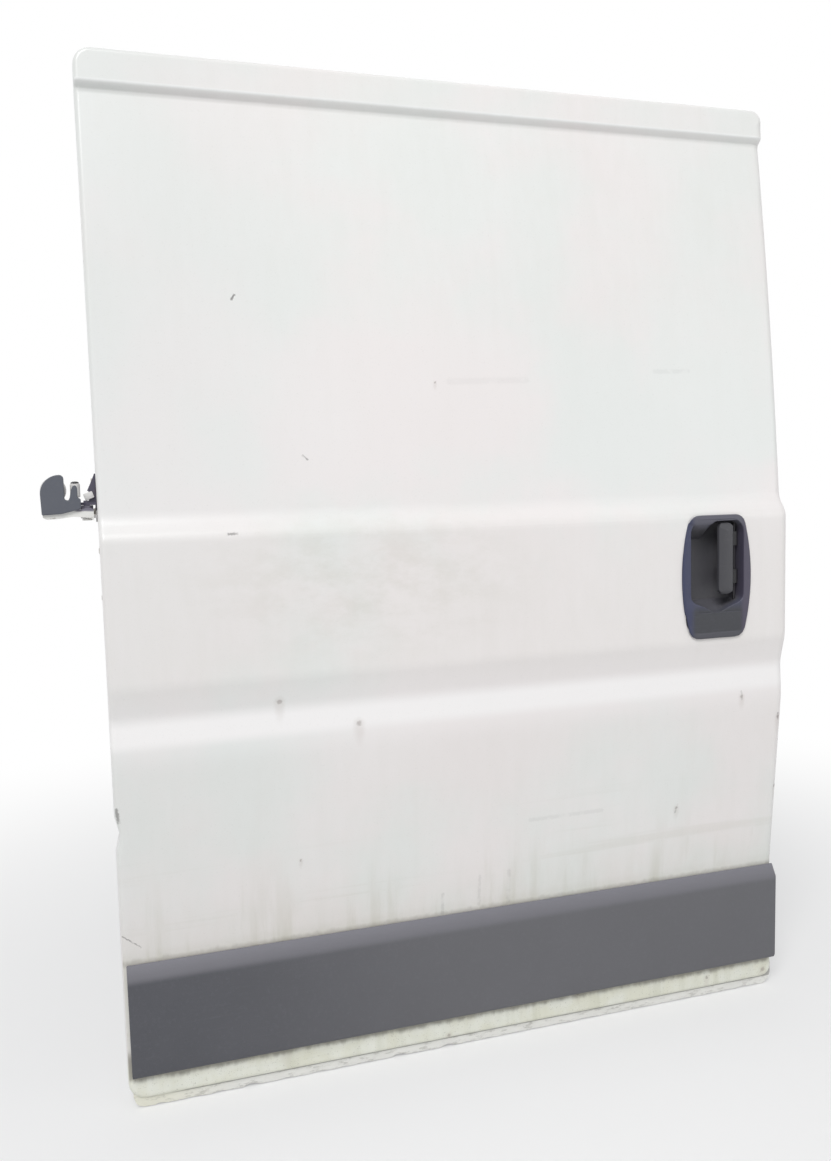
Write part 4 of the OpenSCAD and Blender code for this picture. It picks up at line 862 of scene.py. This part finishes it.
black_steel, tree, place = finish_for("black_steel", Metallic=0.4)
colour = tint(cloud(place, 90.0, 4.0), (0.016, 0.016, 0.020), (0.040, 0.038, 0.045))
film, colour = dusted(tree, 0.25, colour, (0.16, 0.15, 0.14))
wire(tree, colour, plus(0.42, times(film, 0.4)), cloud(place, 700.0, 2.0), 0.00005)
dress("handle_pin", black_steel)
grip_plastic = moulded(
    "grip_plastic", (0.043, 0.043, 0.050), (0.11, 0.11, 0.115), 0.12, 0.36, 1400.0, 0.35, (0.20, 0.20, 0.21),
    # painted shade: the hinge lugs at the grip's right end are near black, for the shade beside the grip
    (("X", lugs_from, lugs_from + 0.0007, (0.012, 0.012, 0.014)),),
)
dress("handle_grip", grip_plastic, 0.0012)

# The rear bracket: a thick pressed angle bolted through the door's rear wall. It
# carries the roller arm on two ears and a gusset. Dark coat above, body white
# on its lower ear.
ear_paint_line = 0.8605
bracket_bolt_y, bracket_bolt_levels = -0.0112, (0.858, 0.902)


def plated(name, colour=(0.62, 0.60, 0.55), roughness=0.32, rust=0.25, brushed=(60.0, 60.0, 8.0)):
    """Zinc plate over steel: cloudy, dulled, and rusting in spots."""
    made, tree, place = finish_for(name)
    base = tint(cloud(place, 45.0, 4.0), colour, paler(colour, 0.72))
    bloom = fade(cloud(place, 120.0, 5.0), 0.50, 0.72, 0.0, 0.5)
    base = tint(bloom, base, (0.60, 0.60, 0.57))
    rusting = fade(cloud(place, 80.0, 6.0), 0.56, 0.66, 0.0, rust)
    base = tint(rusting, base, (0.20, 0.075, 0.03))
    film, base = dusted(tree, 0.3, base, (0.30, 0.27, 0.22))
    dull = most(bloom, rusting, film)
    drawn = cloud(stretched(place, brushed), 12.0, 3.0)
    matt = plus(roughness, times(dull, 0.45))
    shine = calc("SUBTRACT", 1.0, times(dull, 1.1), clamp=True)
    wire(tree, base, matt, plus(drawn, times(rusting, 2.0)), 0.00008, shine)
    return made


def hex_bolt(width, tall, flange):
    """A flanged hexagon head with a shallow dish in its top."""
    rise = tall * 0.30
    skirt = [(0.0, 0.0), (flange / 2, 0.0), (flange / 2, tall * 0.12), (width * 0.52, rise), (0.0, rise)]
    bm = lathed(skirt, 24)
    corner_r = width / 2 / cos(pi / 6)
    head = bmesh.ops.create_cone(
        bm, cap_ends=True, segments=6, radius1=corner_r, radius2=corner_r, depth=tall * 0.8,
        matrix=Matrix.Translation((0, 0, tall * 0.6)),
    )
    top = max((f for v in head["verts"] for f in v.link_faces), key=lambda f: f.calc_center_median().z)
    bmesh.ops.bevel(
        bm, geom=list(top.edges), offset=tall * 0.10, segments=2, profile=0.5, affect="EDGES", material=-1
    )
    top = max(bm.faces, key=lambda f: (round(f.calc_center_median().z, 6), f.calc_area()))
    bmesh.ops.inset_region(bm, faces=[top], thickness=width * 0.14, depth=-tall * 0.12)
    return bm


def torx_screw(width, tall):
    """A low dome with a six-lobed socket."""
    r = width / 2
    dome = [(r * 0.46, tall), (r * 0.72, tall * 0.86), (r * 0.92, tall * 0.52), (r, tall * 0.15), (r, 0.0)]
    bm = lathed(dome, 24)
    rim = [v for v in bm.verts if abs(v.co.z - tall) < 1e-7]
    for v in rim:
        lobe = 1.0 + 0.13 * cos(6 * atan2(v.co.y, v.co.x))
        v.co.x *= lobe
        v.co.y *= lobe
    edges = [e for e in bm.edges if e.verts[0] in rim and e.verts[1] in rim]
    socket = bmesh.ops.extrude_edge_only(bm, edges=edges)["geom"]
    lower = [g for g in socket if isinstance(g, bmesh.types.BMVert)]
    bmesh.ops.translate(bm, verts=lower, vec=(0, 0, -tall * 0.7))
    edges = [g for g in socket if isinstance(g, bmesh.types.BMEdge)]
    bmesh.ops.edgeloop_fill(bm, edges=[e for e in edges if all(v in lower for v in e.verts)])
    bmesh.ops.recalc_face_normals(bm, faces=bm.faces)
    return bm


def coated(name, colour, dusty, rust, roughness=0.45, white_below=None):
    """Dark electrocoat on heavy steel, rusting through at its knocks; white paint below a height."""
    made, tree, place = finish_for(name)
    base = tint(cloud(place, 14.0, 5.0), colour, paler(colour, 1.5))
    rusting = fade(cloud(place, 55.0, 7.0, 0.65), 0.54, 0.66, 0.0, rust)
    rust_tone = tint(cloud(place, 400.0, 3.0), (0.10, 0.035, 0.015), (0.28, 0.12, 0.05))
    base = tint(rusting, base, rust_tone)
    if white_below:
        white = fade(along(place, "Z"), white_below - 0.001, white_below + 0.001, 1.0, 0.0)
        base = tint(white, base, (0.60, 0.59, 0.59))
    film, base = dusted(tree, dusty, base, (0.32, 0.29, 0.24))
    matt = plus(roughness, times(most(film, rusting), 0.4))
    relief = plus(cloud(place, 260.0, 3.0), times(rusting, 3.0))
    wire(tree, base, matt, relief, 0.00015)
    return made


bracket_steel = coated("bracket_steel", (0.058, 0.054, 0.084), 0.10, 0.15, 0.45, ear_paint_line)
dress("rear_bracket", bracket_steel, 0.0007)
zinc_steel = plated("zinc_steel")
bracket_bolts = [
    seated(hex_bolt(0.009, 0.0048, 0.0125), "rear_bracket", (-beside, bracket_bolt_y, up), (1, 0, 0), spin=up)
    for up in bracket_bolt_levels
]
gathered("bracket_bolts", bracket_bolts, zinc_steel)

# The rear arm: pressed plate in body white with a strip along its street side,
# a wall that carries the load roller's axle and two posts for the guide rollers.
# Its headed pivot pin was painted with it; round the hub the paint is darker above a ragged line.
pin_low, pin_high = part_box("rear_pivot_pin")
pivot = (pin_low[0] + pin_high[0]) / 2

arm_paint, tree, place = finish_for("arm_paint", Coat_Weight=0.15, Coat_Roughness=0.3)
rubbed = cloud(stretched(place, (20.0, 60.0, 60.0)), 3.0, 6.0)
colour = tint(cloud(place, 12.0, 4.0), (0.74, 0.74, 0.71), (0.80, 0.80, 0.78))
colour = tint(fade(rubbed, 0.58, 0.68, 0.0, 0.8), colour, (0.30, 0.27, 0.24))
film, colour = dusted(tree, 0.22, colour, (0.36, 0.32, 0.26))
# darker purple-grey round the hub, above a ragged line
ragged_height = plus(along(place, "Z"), times(cloud(place, 90.0, 3.0), 0.002))
darker_hub = band(along(place, "X"), pivot, 0.013, 0.020, 1.0)
darker_hub = times(darker_hub, fade(ragged_height, 0.8595, 0.8625, 0.0, 0.96))
colour = tint(darker_hub, colour, (0.135, 0.127, 0.172))
wire(tree, colour, plus(0.4, times(film, 0.4)), cloud(place, 300.0, 3.0), 0.0001)
dress("rear_arm", arm_paint, 0.0006)
dress("rear_pivot_pin", arm_paint, 0.0004)

# The arm's cover: a moulded blue-grey plate, round over the load roller, with a
# neck and a finger beside it, snapped onto the arm's street side.
cover_plastic = moulded("cover_plastic", (0.080, 0.088, 0.110), (0.16, 0.17, 0.185), 0.20, 0.46, 1200.0, 0.3)
dress("rear_arm_cover", cover_plastic, 0.0015)

# The rollers: turned nylon on steel pins, yellowed, with patches of black grease
# from their bearings.
nylon, tree, place = finish_for("roller_nylon")
greasy = fade(cloud(place, 70.0, 5.0), 0.54, 0.70, 0.0, 0.4)
colour = tint(cloud(place, 20.0, 3.0), (0.72, 0.71, 0.70), (0.80, 0.79, 0.78))
colour = tint(greasy, colour, (0.16, 0.14, 0.11))
film, colour = dusted(tree, 0.15, colour, (0.34, 0.30, 0.25))
wire(tree, colour, plus(0.35, times(most(greasy, film), 0.35)), cloud(place, 260.0, 2.0), 0.0001)
for roller in (
    "rear_load_roller", "rear_guide_roller", "rear_inner_roller", "upper_roller", "lower_load_roller",
    "lower_guide_roller",
):
    dress(roller, nylon, 0.0004)

# The stop pad: a pale nylon block riveted to the street side of the bracket's
# gusset, where the arm comes to rest.
pad_size, pad_ease, pad_stand = (0.0135, 0.0100, 0.0036), 0.0012, 0.0017
pad_spot, pad_turn = (-0.5930, in_front, 0.8820), radians(20)
bm = bmesh.new()
bmesh.ops.create_cube(bm, size=1.0)
bmesh.ops.scale(bm, vec=pad_size, verts=bm.verts)
bmesh.ops.bevel(bm, geom=bm.edges[:], offset=pad_ease, segments=2, profile=0.5, affect="EDGES", material=-1)
bmesh.ops.translate(bm, vec=(0, 0, pad_stand), verts=bm.verts)
pad = seated(bm, "rear_bracket", pad_spot, (0, 1, 0), spin=pad_turn)
gathered("arm_stop_pad", [pad], nylon)

# Caps and washers: dark pressed caps over the arm's two upright pins, and plated
# washers over the rollers of the guide arms.
cap_shape = [(0.0, 0.0030), (0.0030, 0.0028), (0.0050, 0.0020), (0.0060, 0.0006), (0.0060, 0.0)]
cap_lift = 0.0003
washer_bore, washer_r, washer_thick, washer_lift = 0.0041, 0.0078, 0.0011, 0.0004


def on_top(piece, roller, lift):
    """Lays a turned piece on a roller, in line with its axis."""
    low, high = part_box(roller)
    middle = ((low[0] + high[0]) / 2, (low[1] + high[1]) / 2, high[2] + lift)
    bmesh.ops.translate(piece, vec=middle, verts=piece.verts)
    return piece


caps = [
    on_top(lathed(cap_shape, 20), roller, cap_lift) for roller in ("rear_guide_roller", "rear_inner_roller")
]
gathered("roller_caps", caps, black_steel, "roller_arm")
washer_shape = [
    (washer_bore, 0.0), (washer_r, 0.0), (washer_r, washer_thick), (washer_bore, washer_thick),
    (washer_bore, 0.0),
]
washers = [
    on_top(lathed(washer_shape, 24), roller, washer_lift) for roller in ("upper_roller", "lower_guide_roller")
]
gathered("roller_washers", washers, zinc_steel)

# The upper guide arm: a tapered blade on a plate, bolted to the inner panel's
# front top corner.
upper_plate_x, upper_bolt_off, upper_bolt_levels = 0.4775, 0.029, (1.432, 1.454)
guide_steel = coated("guide_steel", (0.045, 0.047, 0.052), 0.35, 0.45)
dress("upper_arm", guide_steel, 0.0008)
upper_bolts = [
    seated(
        hex_bolt(0.010, 0.0056, 0.0145), "upper_arm", (upper_plate_x + across, behind, up), from_inside,
        spin=across * 40,
    )
    for up in upper_bolt_levels for across in (-upper_bolt_off, upper_bolt_off)
]
gathered("upper_arm_bolts", upper_bolts, zinc_steel)

# The lower guide arm: a channel welded to a foot plate, with the load roller on
# a cross axle and the guide roller on an upright pin.
lower_plate_x, lower_bolt_off, lower_bolt_levels = 0.4525, 0.052, (0.060, 0.116)
dress("lower_arm", guide_steel, 0.0010)
lower_bolts = [
    seated(
        hex_bolt(0.012, 0.0066, 0.0175), "lower_arm", (lower_plate_x + across, behind, up), from_inside,
        spin=across * 30 + up,
    )
    for across in (-lower_bolt_off, lower_bolt_off) for up in lower_bolt_levels
]
gathered("lower_arm_bolts", lower_bolts, zinc_steel)

# The latches: riveted steel cases screwed to the door's end walls from outside,
# each with a forked claw that closes round a striker.
latch_screw_spots = ((-0.037, 0.800), (-0.037, 0.732), (-0.0145, 0.800))
case_steel = plated("case_steel", (0.55, 0.53, 0.48), 0.36, 0.3)
latch_steel = plated("latch_steel", (0.36, 0.36, 0.38), 0.28, 0.45, (8.0, 60.0, 60.0))
for latch in ("front_latch", "rear_latch"):
    dress(latch, case_steel, 0.0006)
    dress(latch + "_claw", latch_steel, 0.0005)
latch_screws = [
    seated(torx_screw(0.011, 0.0030), "inner_panel", (side * beside, y, up), (-side, 0, 0), spin=y * 90)
    for side in (-1, 1) for y, up in latch_screw_spots
]
gathered("latch_screws", latch_screws, zinc_steel)

# The release unit and the latch rod: a pressed case behind the inner handle
# with its boss, and a plated rod to the rear latch.
unit_steel = plated("unit_steel", (0.50, 0.50, 0.47), 0.42, 0.2)
dress("release_unit", unit_steel, 0.0012)
dress("latch_rod", zinc_steel)

# The inner handle: a black moulded housing screwed to the panel, with a grey
# lever in its dish.
handle_screw_xs, handle_screw_level = (0.2995, 0.4595), 0.740
housing_plastic = moulded(
    "housing_plastic", (0.020, 0.020, 0.022), (0.05, 0.05, 0.052), 0.35, 0.45, 1000.0, 0.3
)
dress("inner_handle", housing_plastic, 0.0018)
dress("inner_handle_lever", grip_plastic, 0.0016)
handle_screws = [
    seated(torx_screw(0.009, 0.0024), "inner_handle", (x, behind, handle_screw_level), from_inside)
    for x in handle_screw_xs
]
gathered("handle_screws", handle_screws, zinc_steel)

# The lower trim: a pressed grey board with a raised field, held to the panel by
# black push clips round its edge; scratched by loads in the van.
clip_r, clip_top, clip_foot, clip_side = 0.0095, 0.577, 0.089, 0.4945
trim_board = moulded("trim_board", (0.225, 0.232, 0.240), (0.36, 0.36, 0.36), 0.30, 0.60, 500.0, 0.6)
dress("lower_trim", trim_board, 0.0014)
clip_spots = [(x, clip_top) for x in (-0.46, -0.23, 0.0, 0.23, 0.46)]
clip_spots += [(x, clip_foot) for x in (-0.44, -0.22, 0.0, 0.22)]
clip_spots += [(-clip_side, 0.26), (-clip_side, 0.42), (clip_side, 0.30), (clip_side, 0.44)]
clip_shape = [
    (0.0, 0.0022), (clip_r * 0.45, 0.0021), (clip_r * 0.50, 0.0012), (clip_r * 0.58, 0.0012),
    (clip_r * 0.64, 0.0022), (clip_r * 0.9, 0.0016), (clip_r, 0.0),
]
push_clips = [
    seated(lathed(clip_shape, 24), "lower_trim", (x, behind, up), from_inside) for x, up in clip_spots
]
gathered("trim_clips", push_clips, housing_plastic)

# Guide wedges, buffers and the contact block: black moulded fittings screwed to
# the edges of the panel; the contacts are sprung brass studs.
wedge_screws = ((-0.022, 0.345), (-0.022, 0.375), (0.0, 1.165), (0.0, 1.195))
block_y, block_screw_levels, stud_from, stud_pitch = -0.025, (0.547, 0.603), 0.560, 0.010
stud_shape = [(0.0, 0.0022), (0.0016, 0.0019), (0.0024, 0.0010), (0.0026, 0.0)]
from_front = (-1, 0, 0)

wedge_plastic = moulded("wedge_plastic", (0.024, 0.024, 0.026), (0.07, 0.07, 0.07), 0.35, 0.5, 900.0, 0.6)
dress("guide_wedges", wedge_plastic, 0.0016)
dress("rubber_buffers", black_rubber, 0.0008)
dress("contact_block", wedge_plastic, 0.0010)
fitting_screws = [
    seated(torx_screw(0.0085, 0.0024), "guide_wedges", (beside, y, up), from_front, 0.0020)
    for y, up in wedge_screws
]
fitting_screws += [
    seated(torx_screw(0.0070, 0.0018), "contact_block", (beside, block_y, up), from_front)
    for up in block_screw_levels
]
gathered("fitting_screws", fitting_screws, zinc_steel)

brass, tree, place = finish_for("contact_brass", Metallic=1.0)
dull = fade(cloud(place, 300.0, 4.0), 0.45, 0.65)
colour = tint(dull, (0.70, 0.48, 0.20), (0.28, 0.18, 0.09))
wire(tree, colour, plus(0.25, times(dull, 0.35)), dull, 0.00005)
studs = [
    seated(lathed(stud_shape, 16), "contact_block", (beside, block_y, stud_from + stud_pitch * k), from_front)
    for k in range(4)
]
gathered("contact_studs", studs, brass)
